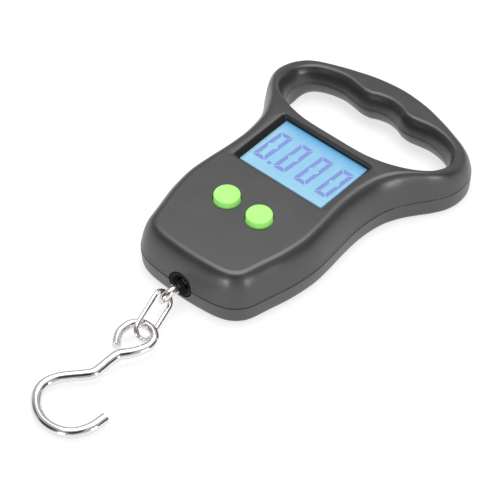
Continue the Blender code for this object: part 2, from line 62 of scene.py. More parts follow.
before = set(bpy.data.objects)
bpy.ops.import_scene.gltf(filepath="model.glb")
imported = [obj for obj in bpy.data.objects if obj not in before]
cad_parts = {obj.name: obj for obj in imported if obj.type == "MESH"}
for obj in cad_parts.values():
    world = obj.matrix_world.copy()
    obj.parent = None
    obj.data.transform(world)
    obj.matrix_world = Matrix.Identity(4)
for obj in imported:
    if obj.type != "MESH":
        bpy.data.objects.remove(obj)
CAD_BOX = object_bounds()

MM = 0.001
EXIT_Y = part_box("front_shell")[0].y / MM
GAP = 0.3
SHARP_ANGLE = 32
MERGE_DISTANCE = 1e-7

# Case
PARTING_Z = 8.0
CASE_TOP_Z = 21.6
CEILING_Z = 19.4
WALL = 2.0
GRIP_HEIGHT = 0.55
GRIP_INSET = 0.62
NEAR_EDGE_INSET = 0.25
FINGER_SIDE = (108.0, 116.0)
EXIT_RADIUS = 5.5
SLOPE_START_Y = 86.0
SLOPE_END_Y = 118.0
SLOPE_STEP = 1.5

# Half outlines (x, y) at the parting line, mirrored to the other side
OUTER_HALF = [(0, 0), (10.2, 0.4), (16.8, 1.3), (21.5, 3.0), (25.0, 5.9), (27.3, 9.8), (29.3, 17.4),
              (31.8, 27.5), (33.1, 38.5), (32.6, 48), (31.5, 58), (31.0, 68), (32.2, 78),
              (35.0, 85.3), (38.5, 91), (42.4, 96.4), (45.4, 102), (46.5, 108), (45.4, 114.5),
              (42, 119.7), (36.8, 123.3), (28.1, 126.8), (21, 129.1), (12, 131.4), (0, 132.6)]
OPENING_HALF = [(0, 88.6), (12, 88.7), (18, 89.4), (24, 91.0), (29.3, 93.8), (33.2, 97.3),
                (35.9, 101.2), (37.2, 105.5), (37.1, 109.5), (35.6, 112.6), (33.3, 115),
                (29.5, 116.9), (25.3, 118.0), (21, 118.4), (16.5, 117.8), (12, 117.1),
                (8, 117.5), (4.5, 118.9), (0, 119.7)]

# Section of the front's edge: (inset, z)
SHOULDER = [(0, 8.6), (0.35, 10.0), (0.9, 13.0), (1.7, 16.0), (2.6, 18.2), (3.7, 20.0), (5.0, 21.2),
            (6.5, CASE_TOP_Z)]

# Section of the back's edge: (inset, inset under the fingers, z)
BACK_EDGE = [(0, 0.05, 7.4), (0.12, 0.6, 5.4), (0.3, 1.5, 3.4), (0.5, 2.8, 1.8), (1.0, 4.2, 0.6),
             (1.9, 5.6, 0.0)]

# Both mouldings' rims at the parting line: (inset, distance from it), outside and in the opening
OUTER_RIM = [(0.18, 0.15), (0.05, 0.29)]
OPENING_RIM = [(0.0, 0.02), (0.0, 0.1)]

# Insets of the back's lip and of its cavity
LIP_WALL = 1.35
CAVITY_WALL = 2.35

# Display
DISPLAY_Y = 70.0
WINDOW = (40.4, 27.2)
WINDOW_TOP = (44.4, 30.0)
WINDOW_TOP_SHIFT = -0.5
GLASS = (40.0, 27.0)
PANE = (43.2, 28.8)
# Top of the black painted shade on the window's walls
WINDOW_SHADE_TOP_Z = 20.3
INK_Z = 18.33
INK_HEIGHT = 0.06

# Bars of a nought: the ends of each on a box one wide and one high, clockwise from the top
BARS = (((0, 1), (1, 1)), ((1, 1), (1, 0.5)), ((1, 0.5), (1, 0)),
        ((1, 0), (0, 0)), ((0, 0), (0, 0.5)), ((0, 0.5), (0, 1)))

# Buttons
BUTTON_X = 8.0
BUTTON_Y = 35.5
BUTTON_RADIUS = 5.05
BUTTON_GAP = 0.35
BUTTON_TOP_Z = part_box("left_button")[1].z / MM

# Fasteners and battery bay
CASE_SCREWS = [(17, 10), (26, 46), (41.9, 107)]
BOARD_SCREWS = [(-19, 29.5), (19, 29.5)]
POST_TOP_Z = 20.0
SCREW_PITCH = 0.9
GRIP_START_Y = 88.0
BAY_Y = 68.5
CELL_RADIUS = 5.25
CELL_PITCH = 11.4
CELL_Z = 7.1
CELL_START = 20.2
CELL_BAND = 14.0
CELL_CAP = 22.6
CONTACT_X = 24.4
DOOR = (52.8, 23.4)
DOOR_CORNER = 1.4

# Weighing rod, link and hook
ROD_RADIUS = 1.65
NECK_RADIUS = 2.05
THREAD_START = 12.6
THREAD_PITCH = 0.75
THREAD_TURNS = 14
EYE_RADIUS = 3.45
EYE_Y = -5.87
EYE_TURN = math.radians(30.4)
LINK_WIRE = 1.0
LINK_HALF_WIDTH = 3.78
LINK_LENGTH = 21.77
LINK_START = (-0.57, -6.36, 8.08)
LINK_YAW = math.radians(14.65)
LINK_PITCH = math.radians(8.31)
LINK_ROLL = math.radians(49.09)
HOOK_WIRE = 2.1
HOOK_EYE_WIRE = 1.75
HOOK_TAPER = (0.62, 0.74)
CUT_CHAMFER = (0.15, 0.12)
HOOK_PIVOT = (3.4, -20.75, 5.40)
HOOK_PLANE_Z = 5.68
HOOK_PITCH = math.radians(3.55)
HOOK_ROLL = math.radians(0.62)
HOOK_PATH = [(21.1, -62.8), (20.3, -68.7), (18.3, -73.2), (15.2, -76.3), (10.5, -78.1), (4.9, -78.0),
             (-0.1, -76.0), (-4.2, -72.5), (-6.5, -68.9), (-7.0, -64.7), (-5.3, -60.4), (-2.6, -57.1),
             (1.0, -53.4), (3.4, -50.4), (3.9, -46.7), (4.0, -42.9), (4.6, -38.6), (7.4, -34.9),
             (9.3, -31.6), (10.5, -27.8), (9.4, -24.0), (5.8, -21.6), (1.2, -21.8), (-2.0, -24.6),
             (-2.6, -29.4), (-1.1, -32.8), (1.0, -35.5)]

# Camera
CAMERA_PLACE = (0.6014, -0.6688, 0.9340)
CAMERA_RIGHT = Vector((0.75019, 0.66121, 0.0))
CAMERA_UP = Vector((-0.47463, 0.53850, 0.69622))
CAMERA_LENS = 248.7
CAMERA_SENSOR = 36.0

# Floor and light. Dark patches of the surround: (direction, half angle in degrees, depth)
FLOOR_GAP = 0.2
FLOOR_GLOW = 0.74
LIGHT_TARGET = Vector((0, 0.03, 0))
SIDE_LIGHT_SHARE = 0.35
DARK_PATCHES = (((0.46, -0.52, 0.72), 20, 0.9), ((-0.85, -0.25, 0.45), 12, 0.7),
                ((0.84, 0.5, 0.22), 22, 0.85), ((-0.46, -0.70, 0.50), 22, 0.85))


# ---------------------------------------------------------------- placing and outlines

def place(x, y, z):
    """A point of the case, in the frame's metres."""
    return Vector((x, y + EXIT_Y, z)) * MM


def smooth_step(low, high, value):
    t = min(max((value - low) / (high - low), 0.0), 1.0)
    return t * t * (3.0 - 2.0 * t)


def between(before, start, end, after, t):
    """Point of a Catmull-Rom span from start to end."""
    cubic = 3 * start - 3 * end + after - before
    square = 2 * before - 5 * start + 4 * end - after
    return 0.5 * (2 * start + (end - before) * t + square * t ** 2 + cubic * t ** 3)


def closed_outline(half, steps):
    """Smooth closed outline through a half outline and its mirror image."""
    right = [Vector(point) for point in half]
    left = [Vector((-point.x, point.y)) for point in reversed(right[1:-1])]
    knots = right + left
    count = len(knots)
    outline = []
    for i in range(count):
        span = (knots[i - 1], knots[i], knots[(i + 1) % count], knots[(i + 2) % count])
        outline += [between(*span, step / steps) for step in range(steps)]
    return outline


def open_path(points, steps):
    """Smooth open path through the points."""
    knots = [Vector(point) for point in points]
    knots = [2 * knots[0] - knots[1]] + knots + [2 * knots[-1] - knots[-2]]
    path = []
    for i in range(1, len(knots) - 2):
        path += [between(*knots[i - 1:i + 3], step / steps) for step in range(steps)]
    return path + [knots[-2]]


def inward(outline):
    """Unit normals that point to the left of an outline's direction of travel."""
    count = len(outline)
    normals = []
    for i in range(count):
        along = (outline[(i + 1) % count] - outline[i - 1]).normalized()
        normals.append(Vector((-along.y, along.x)))
    return normals


def level_ring(outline, middle, z):
    """An outline moved to its middle at height z, in the frame's metres."""
    return [place(middle[0] + point.x, middle[1] + point.y, z) for point in outline]


def rounded_rectangle(width, depth, corner, steps=5):
    """Outline of a rectangle with round corners about its own middle."""
    points = []
    for quarter, (side_x, side_y) in enumerate(((1, 1), (-1, 1), (-1, -1), (1, -1))):
        middle = Vector((side_x * (width / 2 - corner), side_y * (depth / 2 - corner)))
        for step in range(steps + 1):
            angle = math.pi / 2 * (quarter + step / steps)
            points.append(middle + Vector((math.cos(angle), math.sin(angle))) * corner)
    return points


# ---------------------------------------------------------------- mesh building

def finish_mesh(name, bm, materials, sharp=SHARP_ANGLE):
    """Turn a bmesh in the frame's metres into an object that sits at the origin."""
    bmesh.ops.recalc_face_normals(bm, faces=bm.faces)
    mesh = bpy.data.meshes.new(name)
    bm.to_mesh(mesh)
    bm.free()
    mesh.shade_smooth()
    mesh.set_sharp_from_angle(angle=math.radians(sharp))
    made = bpy.data.objects.new(name, mesh)
    bpy.context.scene.collection.objects.link(made)
    for item in materials:
        mesh.materials.append(item)
    return made


def boolean(target, bm, operation, sharp=SHARP_ANGLE):
    """Apply one Boolean with the bodies of a bmesh."""
    tool = finish_mesh("tool", bm, [])
    step = target.modifiers.new("cut", "BOOLEAN")
    step.operation = operation
    step.solver = "EXACT"
    step.object = tool
    evaluated = target.evaluated_get(bpy.context.evaluated_depsgraph_get())
    result = bpy.data.meshes.new_from_object(evaluated)
    target.modifiers.clear()
    target.data = result
    result.shade_smooth()
    result.set_sharp_from_angle(angle=math.radians(sharp))
    bpy.data.objects.remove(tool, do_unlink=True)


def weighted(obj):
    """Keep broad faces flat in shading beside narrow rounded edges."""
    step = obj.modifiers.new("shading", "WEIGHTED_NORMAL")
    step.keep_sharp = True
    step.weight = 60


def crease_flats(obj):
    """Mark the rims of the level faces as sharp, so that those faces stay flat in shading."""
    bm = bmesh.new()
    bm.from_mesh(obj.data)
    for edge in bm.edges:
        if len({abs(face.normal.z) > 0.9999 for face in edge.link_faces}) == 2:
            edge.smooth = False
    bm.to_mesh(obj.data)
    bm.free()


def lofted(bm, rings, capped=True):
    """Draw the first ring and extrude it through the others. Rings hold points in metres."""
    index_of = bm.verts.layers.int.get("place") or bm.verts.layers.int.new("place")
    ring = []
    for index, point in enumerate(rings[0]):
        vert = bm.verts.new(point)
        vert[index_of] = index
        ring.append(vert)
    first = [bm.edges.new((ring[i - 1], ring[i])) for i in range(len(ring))]
    edges = first
    for points in rings[1:]:
        grown = bmesh.ops.extrude_edge_only(bm, edges=edges)["geom"]
        verts = {item for item in grown if isinstance(item, bmesh.types.BMVert)}
        for vert in verts:
            vert.co = points[vert[index_of]]
        edges = [item for item in grown if isinstance(item, bmesh.types.BMEdge)
                 and item.verts[0] in verts and item.verts[1] in verts]
    if capped:
        bmesh.ops.triangle_fill(bm, use_beauty=True, edges=first)
        bmesh.ops.triangle_fill(bm, use_beauty=True, edges=edges)
    return first, edges


def outer_factor(y):
    """Share of the shoulder's inset that the outer edge keeps at y."""
    return 1.0 - (1.0 - GRIP_INSET) * smooth_step(78, 98, y)


def opening_factor(y):
    """Share of the shoulder's inset that the finger opening's edge keeps at y."""
    return NEAR_EDGE_INSET + (GRIP_INSET - NEAR_EDGE_INSET) * smooth_step(89, 102, y)


def case_height(y, z):
    """The front falls away from the display to the slimmer grip."""
    if z <= PARTING_Z:
        return z
    share = 1.0 - (1.0 - GRIP_HEIGHT) * smooth_step(SLOPE_START_Y, SLOPE_END_Y, y)
    return PARTING_Z + (z - PARTING_Z) * share


def outer_inset(y, level):
    """How far a level lies inside the case's outer outline at y."""
    return level[0] * outer_factor(y) + level[3]


def opening_inset(y, level):
    """How far a level lies inside the finger opening's outline at y, rounder under the fingers."""
    share = smooth_step(FINGER_SIDE[0], FINGER_SIDE[1], y)
    plain = level[0] * opening_factor(y)
    return plain + (level[1] - plain) * share + level[3]


def case_rings(half, sign, inset, levels, steps):
    """Rings of the case's edge, one for each level."""
    outline = closed_outline(half, steps)
    normals = inward(outline)
    rings = []
    for level in levels:
        ring = []
        for point, normal in zip(outline, normals):
            moved = point + normal * inset(point.y, level) * sign
            ring.append(place(moved.x, moved.y, level[2]))
        rings.append(ring)
    return rings


def case_block(levels, steps, sliced=False, side=0):
    """Closed block between the outer edge and the finger opening.

    Each level is (inset, inset at the fingers' side of the opening, z, wall). The block gets
    the rim of the moulding above (side 1) or below (side -1) the parting line.
    """
    bm = bmesh.new()
    walls = []
    for half, sign, inset_at, rim in ((OUTER_HALF, 1, outer_inset, OUTER_RIM),
                                      (OPENING_HALF, -1, opening_inset, OPENING_RIM)):
        edge = [(inset, inset, PARTING_Z + side * rise, 0.0) for inset, rise in rim if side]
        walls.append(lofted(bm, case_rings(half, sign, inset_at, edge + levels, steps), capped=False))
    for outer, inner in zip(*walls):
        bmesh.ops.triangle_fill(bm, use_beauty=True, edges=outer + inner)
    if sliced:
        y = SLOPE_START_Y
        while y < SLOPE_END_Y + SLOPE_STEP:
            geom = list(bm.verts) + list(bm.edges) + list(bm.faces)
            bmesh.ops.bisect_plane(bm, geom=geom, dist=MERGE_DISTANCE, plane_co=place(0, y, 0),
                                   plane_no=(0, 1, 0))
            y += SLOPE_STEP
    bmesh.ops.recalc_face_normals(bm, faces=bm.faces)
    for vert in bm.verts:
        vert.co.z = case_height(vert.co.y / MM - EXIT_Y, vert.co.z / MM) * MM
    return bm


def lathe(bm, profile, base, segments, axis=(0, 0, 1)):
    """Spin a closed (radius, height) profile about an axis through a point of the case."""
    ring = [bm.verts.new((radius * MM, 0, height * MM)) for radius, height in profile]
    edges = [bm.edges.new(pair) for pair in zip(ring, ring[1:])]
    if profile[0][0] > 0:
        edges.append(bm.edges.new((ring[-1], ring[0])))
    known = set(bm.verts) - set(ring)
    bmesh.ops.spin(bm, geom=ring + edges, cent=(0, 0, 0), axis=(0, 0, 1), angle=2 * math.pi,
                   steps=segments, use_merge=True)
    made = [vert for vert in bm.verts if vert not in known]
    bmesh.ops.remove_doubles(bm, verts=made, dist=MERGE_DISTANCE)
    made = [vert for vert in bm.verts if vert not in known]
    turn = Vector((0, 0, 1)).rotation_difference(Vector(axis)).to_matrix()
    bmesh.ops.rotate(bm, cent=(0, 0, 0), matrix=turn, verts=made)
    bmesh.ops.translate(bm, vec=place(*base), verts=made)


def add_post(bm, x, y, inner, outer, low, high):
    """Post between two heights, hollow where inner is more than nothing."""
    lathe(bm, [(inner, low), (outer, low), (outer, high), (inner, high)], base=(x, y, 0), segments=24)


def rounded_profile(points, radius, steps):
    """A (radius, height) profile with its inner corners rounded off by short arcs."""
    knots = [Vector(point) for point in points]
    rounded = [knots[0]]
    for before, corner, after in zip(knots, knots[1:], knots[2:]):
        reach = min(radius, (corner - before).length * 0.45, (after - corner).length * 0.45)
        start = corner + (before - corner).normalized() * reach
        end = corner + (after - corner).normalized() * reach
        for step in range(steps + 1):
            t = step / steps
            rounded.append(start * (1 - t) ** 2 + corner * 2 * t * (1 - t) + end * t ** 2)
    return [(point.x, point.y) for point in rounded + [knots[-1]]]


def sweep(bm, points, radius_at, sides, closed=False):
    """Carry a circle along points of the case. radius_at takes the share of the way, 0 to 1."""
    path = [place(*point) for point in points]
    count = len(path)
    tangents = []
    for i in range(count):
        ahead = path[(i + 1) % count] if closed else path[min(i + 1, count - 1)]
        behind = path[i - 1] if closed else path[max(i - 1, 0)]
        tangents.append((ahead - behind).normalized())
    side = tangents[0].orthogonal().normalized()
    frames = []
    for tangent in tangents:
        side = (side - tangent * side.dot(tangent)).normalized()
        frames.append((side, tangent.cross(side)))
    twist = seam_twist(frames, tangents) if closed else 0.0
    rings = []
    for i, (one, two) in enumerate(frames):
        radius = radius_at(i / (count - 1)) * MM
        ring = []
        for step in range(sides):
            angle = 2 * math.pi * step / sides + twist * i / count
            ring.append(path[i] + (one * math.cos(angle) + two * math.sin(angle)) * radius)
        rings.append(ring)
    first, last = lofted(bm, rings, capped=not closed)
    if closed:
        bmesh.ops.bridge_loops(bm, edges=first + last)


def seam_twist(frames, tangents):
    """Angle that the carried circle is out by when it has come round to its start."""
    start = frames[0][0]
    one, two = frames[-1]
    one = (one - tangents[0] * one.dot(tangents[0])).normalized()
    two = tangents[0].cross(one)
    return math.atan2(start.dot(two), start.dot(one))


def plate(bm, width, depth, low, high, middle, corner, edge, steps=5):
    """Flat plate with round corners, its upper and lower rims rounded by edge."""
    angles = [math.pi / 2 * step / 3 for step in range(4)]
    levels = [(edge * (1 - math.sin(angle)), low + edge * (1 - math.cos(angle))) for angle in angles]
    levels += [(edge * (1 - math.cos(angle)), high - edge * (1 - math.sin(angle))) for angle in angles]
    rings = []
    for inset, z in levels:
        outline = rounded_rectangle(width - 2 * inset, depth - 2 * inset,
                                    max(corner - inset, 0.02), steps)
        rings.append(level_ring(outline, middle, z))
    lofted(bm, rings)


def mirrored(places):
    """Places on the left and on the right of the middle line."""
    return [(x * side, y) for x, y in places for side in (-1, 1)]


# ---------------------------------------------------------------- materials

def add_node(tree, kind, inputs=None, **settings):
    """Add a shader node. Its inputs get sockets to link from or plain values."""
    made = tree.nodes.new("ShaderNode" + kind)
    for name, value in settings.items():
        setattr(made, name, value)
    for name, value in (inputs or {}).items():
        if isinstance(value, bpy.types.NodeSocket):
            tree.links.new(value, made.inputs[name])
        else:
            made.inputs[name].default_value = value
    return made


class Finish:
    """One Principled material and the nodes that drive it."""

    def __init__(self, name, roughness, metallic=0.0):
        self.material = bpy.data.materials.new(name)
        self.material.use_nodes = True
        self.tree = self.material.node_tree
        self.shader = self.tree.nodes["Principled BSDF"]
        self.shader.inputs["Roughness"].default_value = roughness
        self.shader.inputs["Metallic"].default_value = metallic
        self.coordinates = self.tree.nodes.new("ShaderNodeTexCoord").outputs["Object"]

    def set(self, **values):
        """Set the shader's own sockets, named with _ for a space."""
        for name, value in values.items():
            self.shader.inputs[name.replace("_", " ")].default_value = value

    def node(self, kind, inputs=None, **settings):
        return add_node(self.tree, kind, inputs, **settings)

    def noise(self, size, detail, stretch=(1, 1, 1)):
        """Noise whose features are about size millimetres across."""
        vector = self.coordinates
        if stretch != (1, 1, 1):
            vector = self.node("Mapping", {"Vector": vector, "Scale": stretch}).outputs["Vector"]
        inputs = {"Vector": vector, "Scale": 1.0 / (size * MM), "Detail": detail}
        return self.node("TexNoise", inputs).outputs["Fac"]

    def remap(self, value, low, high, start=0.3, end=0.7):
        inputs = {"Value": value, "From Min": start, "From Max": end, "To Min": low, "To Max": high}
        return self.node("MapRange", inputs).outputs["Result"]

    def mix(self, share, first, second):
        return self.node("Mix", {0: share, 6: first, 7: second}, data_type="RGBA").outputs[2]

    def tint(self, noise, colour, low, high):
        """A colour that noise takes from a darker share of it to a lighter one."""
        return self.mix(self.remap(noise, 0, 1), solid(colour, low), solid(colour, high))

    def math(self, operation, first, second):
        return self.node("Math", {0: first, 1: second}, operation=operation).outputs[0]

    def drive(self, name, value):
        self.tree.links.new(value, self.shader.inputs[name])

    def bump(self, height, distance):
        """Relief of distance millimetres."""
        inputs = {"Height": height, "Distance": distance * MM, "Strength": 1.0}
        self.drive("Normal", self.node("Bump", inputs).outputs["Normal"])

    def light_up(self, colour, glow, specular):
        """Shine with a colour, over a nearly black base."""
        self.drive("Base Color", self.mix(0.75, colour, (0, 0, 0, 1)))
        self.drive("Emission Color", colour)
        self.set(Emission_Strength=glow, Specular_IOR_Level=specular)


def solid(colour, share=1.0):
    """A colour with its alpha, made darker or lighter by share."""
    return (colour[0] * share, colour[1] * share, colour[2] * share, 1.0)


def moulded_plastic(name, colour, roughness, grain, relief=0.012, specular=0.5):
    """Spark-eroded mould finish: even colour, fine pits and a little wander in the gloss."""
    finish = Finish(name, roughness)
    cloud = finish.noise(14.0, 3.0)
    fine = finish.noise(grain, 4.0)
    shade = finish.tint(cloud, colour, 0.95, 1.05)
    speck = finish.tint(fine, colour, 0.93, 1.07)
    finish.drive("Base Color", finish.mix(0.5, shade, speck))
    finish.drive("Roughness", finish.remap(cloud, roughness - 0.03, roughness + 0.04))
    finish.bump(fine, relief)
    finish.set(Specular_IOR_Level=specular)
    return finish.material


def gloss_plastic(name, colour, roughness):
    """Polished moulding with a faint flow pattern."""
    finish = Finish(name, roughness)
    flow = finish.noise(6.0, 3.0)
    finish.drive("Base Color", finish.tint(flow, colour, 0.96, 1.04))
    finish.drive("Roughness", finish.remap(flow, roughness - 0.04, roughness + 0.05))
    finish.bump(finish.noise(0.8, 3.0), 0.004)
    return finish.material


def button_plastic(name, colour, glow):
    """Bright soft-touch resin that light sinks into a little way, with a painted glow: a faint green
    emission that brightens the caps.
    """
    finish = Finish(name, 0.38)
    cloud = finish.noise(5.0, 2.0)
    finish.drive("Base Color", finish.tint(cloud, colour, 0.97, 1.03))
    finish.drive("Roughness", finish.remap(cloud, 0.34, 0.44))
    finish.bump(finish.noise(0.3, 3.0), 0.006)
    finish.set(Subsurface_Weight=0.25, Subsurface_Scale=0.0015, Subsurface_Radius=(0.7, 1.0, 0.4),
               Emission_Color=solid(glow), Emission_Strength=0.3)
    return finish.material


def polished_metal(name, colour, roughness):
    """Plated and polished wire: bright, with faint drawing marks and wandering gloss."""
    finish = Finish(name, roughness, 1.0)
    cloud = finish.noise(4.0, 3.0)
    fine = finish.noise(0.25, 3.0)
    finish.drive("Base Color", finish.tint(cloud, colour, 0.97, 1.02))
    finish.drive("Roughness", finish.remap(cloud, roughness, roughness + 0.03))
    finish.bump(finish.math("ADD", cloud, finish.math("MULTIPLY", fine, 0.15)), 0.006)
    return finish.material


def plain_metal(name, colour, roughness, stretch, size):
    """Machined or stamped metal with marks drawn out along one way."""
    finish = Finish(name, roughness, 1.0)
    marks = finish.noise(size, 4.0, stretch)
    cloud = finish.noise(3.0, 2.0)
    finish.drive("Base Color", finish.tint(marks, colour, 0.88, 1.05))
    finish.drive("Roughness", finish.remap(cloud, roughness - 0.06, roughness + 0.1))
    finish.bump(marks, 0.01)
    return finish.material


def rubber_finish(name, colour):
    """Matt black rubber with a fine pebbled skin."""
    finish = Finish(name, 0.75)
    fine = finish.noise(0.22, 4.0)
    finish.drive("Base Color", finish.tint(fine, colour, 0.7, 1.5))
    finish.drive("Roughness", finish.remap(fine, 0.68, 0.85))
    finish.bump(fine, 0.02)
    finish.set(Specular_IOR_Level=0.25)
    return finish.material


def clear_pane(name, colour, alpha):
    """Clear acrylic with hardly visible haze."""
    finish = Finish(name, 0.04)
    haze = finish.noise(9.0, 2.0)
    finish.drive("Base Color", finish.tint(haze, colour, 0.98, 1.0))
    finish.drive("Roughness", finish.remap(haze, 0.03, 0.06))
    finish.set(Alpha=alpha, IOR=1.49)
    return finish.material


# ---------------------------------------------------------------- settings

class HANDSCALE_PG_case(PropertyGroup):
    """Case mouldings."""
    colour: FloatVectorProperty(
        name="Case colour", description="Colour of the front and back mouldings", subtype="COLOR",
        size=3, min=0, max=1, default=(0.030, 0.030, 0.031))
    roughness: FloatProperty(
        name="Roughness", description="Roughness of the moulded surface", subtype="FACTOR",
        min=0, max=1, default=0.34)
    grain: FloatProperty(
        name="Grain", description="Size of the pits of the mould finish, in millimetres",
        min=0.1, max=2, default=0.35)


class HANDSCALE_PG_display(PropertyGroup):
    """Display and its light."""
    backlight: FloatVectorProperty(
        name="Backlight", description="Colour of the lit display", subtype="COLOR", size=3,
        min=0, max=1, default=(0.26, 0.68, 1.0))
    digits: FloatVectorProperty(
        name="Digits", description="Colour of the digits", subtype="COLOR", size=3, min=0, max=1,
        default=(0.19, 0.28, 0.80))
    glow: FloatProperty(
        name="Glow", description="Strength of the backlight", min=0, max=5, default=0.62)
    digit_height: FloatProperty(
        name="Digit height", description="Height of a digit in millimetres", min=5, max=20, default=16.4)


class HANDSCALE_PG_buttons(PropertyGroup):
    """Push buttons."""
    colour: FloatVectorProperty(
        name="Button colour", description="Colour of the button caps", subtype="COLOR", size=3,
        min=0, max=1, default=(0.36, 0.86, 0.17))


class HANDSCALE_PG_steel(PropertyGroup):
    """Eye bolt, link and hook."""
    colour: FloatVectorProperty(
        name="Plating", description="Colour of the plated wire", subtype="COLOR", size=3,
        min=0, max=1, default=(0.76, 0.74, 0.73))
    roughness: FloatProperty(
        name="Roughness", description="Roughness of the plating", subtype="FACTOR", min=0, max=1,
        default=0.05)


class HANDSCALE_PG_stage(PropertyGroup):
    """Floor and lights."""
    floor: FloatVectorProperty(
        name="Floor", description="Colour of the floor", subtype="COLOR", size=3, min=0, max=1,
        default=(0.36, 0.36, 0.36))
    sky: FloatProperty(
        name="Surround", description="Brightness of the white surround", min=0, max=5, default=0.58)
    key: FloatProperty(
        name="Key light", description="Power of the overhead softbox", subtype="POWER", unit="POWER",
        min=0, max=100, default=4.6)


# ---------------------------------------------------------------- pieces

def shared(name, make, *values, **named):
    """The material of that name, made when it is first asked for."""
    return bpy.data.materials.get(name) or make(name, *values, **named)


def case_finish():
    settings = bpy.context.scene.handscale_case
    return shared("charcoal_moulding", moulded_plastic, settings.colour, settings.roughness,
                  settings.grain, specular=0.85)


def black_finish():
    return shared("black_moulding", moulded_plastic, (0.012, 0.012, 0.012), 0.5, 0.4, specular=0.25)


def steel_finish():
    settings = bpy.context.scene.handscale_steel
    return shared("plated_wire", polished_metal, settings.colour, settings.roughness)


def screw_finish():
    return shared("zinc_screw", plain_metal, (0.62, 0.62, 0.64), 0.28, (1, 1, 4), 0.4)


def exit_cutter(bm):
    """Round hole for the rod, its rim hardly rounded where it meets the wall."""
    profile = [(0, -3.0), (EXIT_RADIUS + 0.5, -3.0), (EXIT_RADIUS + 0.35, -0.1),
               (EXIT_RADIUS + 0.1, 0.3), (EXIT_RADIUS, 0.7), (EXIT_RADIUS, 5.0), (0, 5.0)]
    lathe(bm, profile, base=(0, 0, PARTING_Z), axis=(0, 1, 0), segments=64)


def window_rings():
    """Rings of the window: it widens upwards, and its rim is rounded."""
    levels = [(CEILING_Z - 1.0, -0.46), (CEILING_Z, 0.0), (20.2, 0.37), (20.9, 0.70), (21.3, 0.93),
              (21.5, 1.08), (21.62, 1.25), (CASE_TOP_Z + 0.4, 2.0)]
    rings = []
    for z, share in levels:
        width = WINDOW[0] + (WINDOW_TOP[0] - WINDOW[0]) * share
        depth = WINDOW[1] + (WINDOW_TOP[1] - WINDOW[1]) * share
        middle_y = DISPLAY_Y + WINDOW_TOP_SHIFT * share
        outline = rounded_rectangle(width, depth, 0.5 + 0.3 * max(share, 0))
        rings.append(level_ring(outline, (0, middle_y), z))
    return rings


def front_levels(section):
    """Levels of the front, whose edge is as round under the fingers as round the grip."""
    return [(inset, inset * GRIP_INSET, z, wall) for inset, z, wall in section]


class HANDSCALE_OT_front_case(Operator):
    """Front moulding with its window, button holes, screw posts and grip"""
    bl_idname = "handscale.front_case"
    bl_label = "Front case"

    def execute(self, context):
        section = [(point.x, point.y, 0.0) for point in open_path(SHOULDER, 4)]
        section.append((SHOULDER[-1][0] + 0.25, CASE_TOP_Z, 0.0))
        bm = case_block(front_levels(section), 5, sliced=True, side=1)
        # The second material is black, for the painted shade on the window's walls
        case = finish_mesh("case_front", bm, [case_finish(), black_finish()])
        cavity = [(0, PARTING_Z - 0.5, 1.0), (0.3, 9.7, 1.0), (0.3, 9.7, WALL), (1.7, 16.0, WALL),
                  (2.6, 18.2, WALL), (3.2, CEILING_Z, WALL)]
        boolean(case, case_block(front_levels(cavity), 2), "DIFFERENCE")
        posts = bmesh.new()
        for x, y in mirrored(CASE_SCREWS):
            radius = 2.2 if y > GRIP_START_Y else 3.0
            add_post(posts, x, y, 1.3, radius, 9.8, case_height(y, POST_TOP_Z))
        for x, y in BOARD_SCREWS:
            add_post(posts, x, y, 1.2, 2.6, 14.8, POST_TOP_Z)
        boolean(case, posts, "UNION")
        holes = bmesh.new()
        lofted(holes, window_rings())
        for side in (-1, 1):
            hole = BUTTON_RADIUS + BUTTON_GAP
            profile = [(0, CEILING_Z - 1), (hole, CEILING_Z - 1), (hole, 21.25), (hole + 0.06, 21.43),
                       (hole + 0.2, 21.56), (hole + 0.5, 21.7), (hole + 0.5, 23), (0, 23)]
            lathe(holes, profile, base=(side * BUTTON_X, BUTTON_Y, 0), segments=64)
        exit_cutter(holes)
        boolean(case, holes, "DIFFERENCE")
        # Painted shade: the window's walls are coloured black where they lie in shade
        self.paint_window_shade(case)
        weighted(case)
        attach(case, "case")
        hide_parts("front_shell")
        return {"FINISHED"}

    def paint_window_shade(self, case):
        """The window's walls are coloured black beside the display as painted shade, and the left wall,
        which faces away from the light, is black up to the rim.
        """
        middle = place(0, DISPLAY_Y + WINDOW_TOP_SHIFT / 2, (CEILING_Z + 21.2) / 2)
        reach = Vector((WINDOW_TOP[0] / 2, WINDOW_TOP[1] / 2, 0.95)) * MM
        for face in case.data.polygons:
            offset = face.center - middle
            inside = all(abs(offset[axis]) < reach[axis] for axis in range(3))
            left = face.normal.x > 0.5
            if inside and abs(face.normal.z) < 0.9 and (left or face.center.z < WINDOW_SHADE_TOP_Z * MM):
                face.material_index = 1


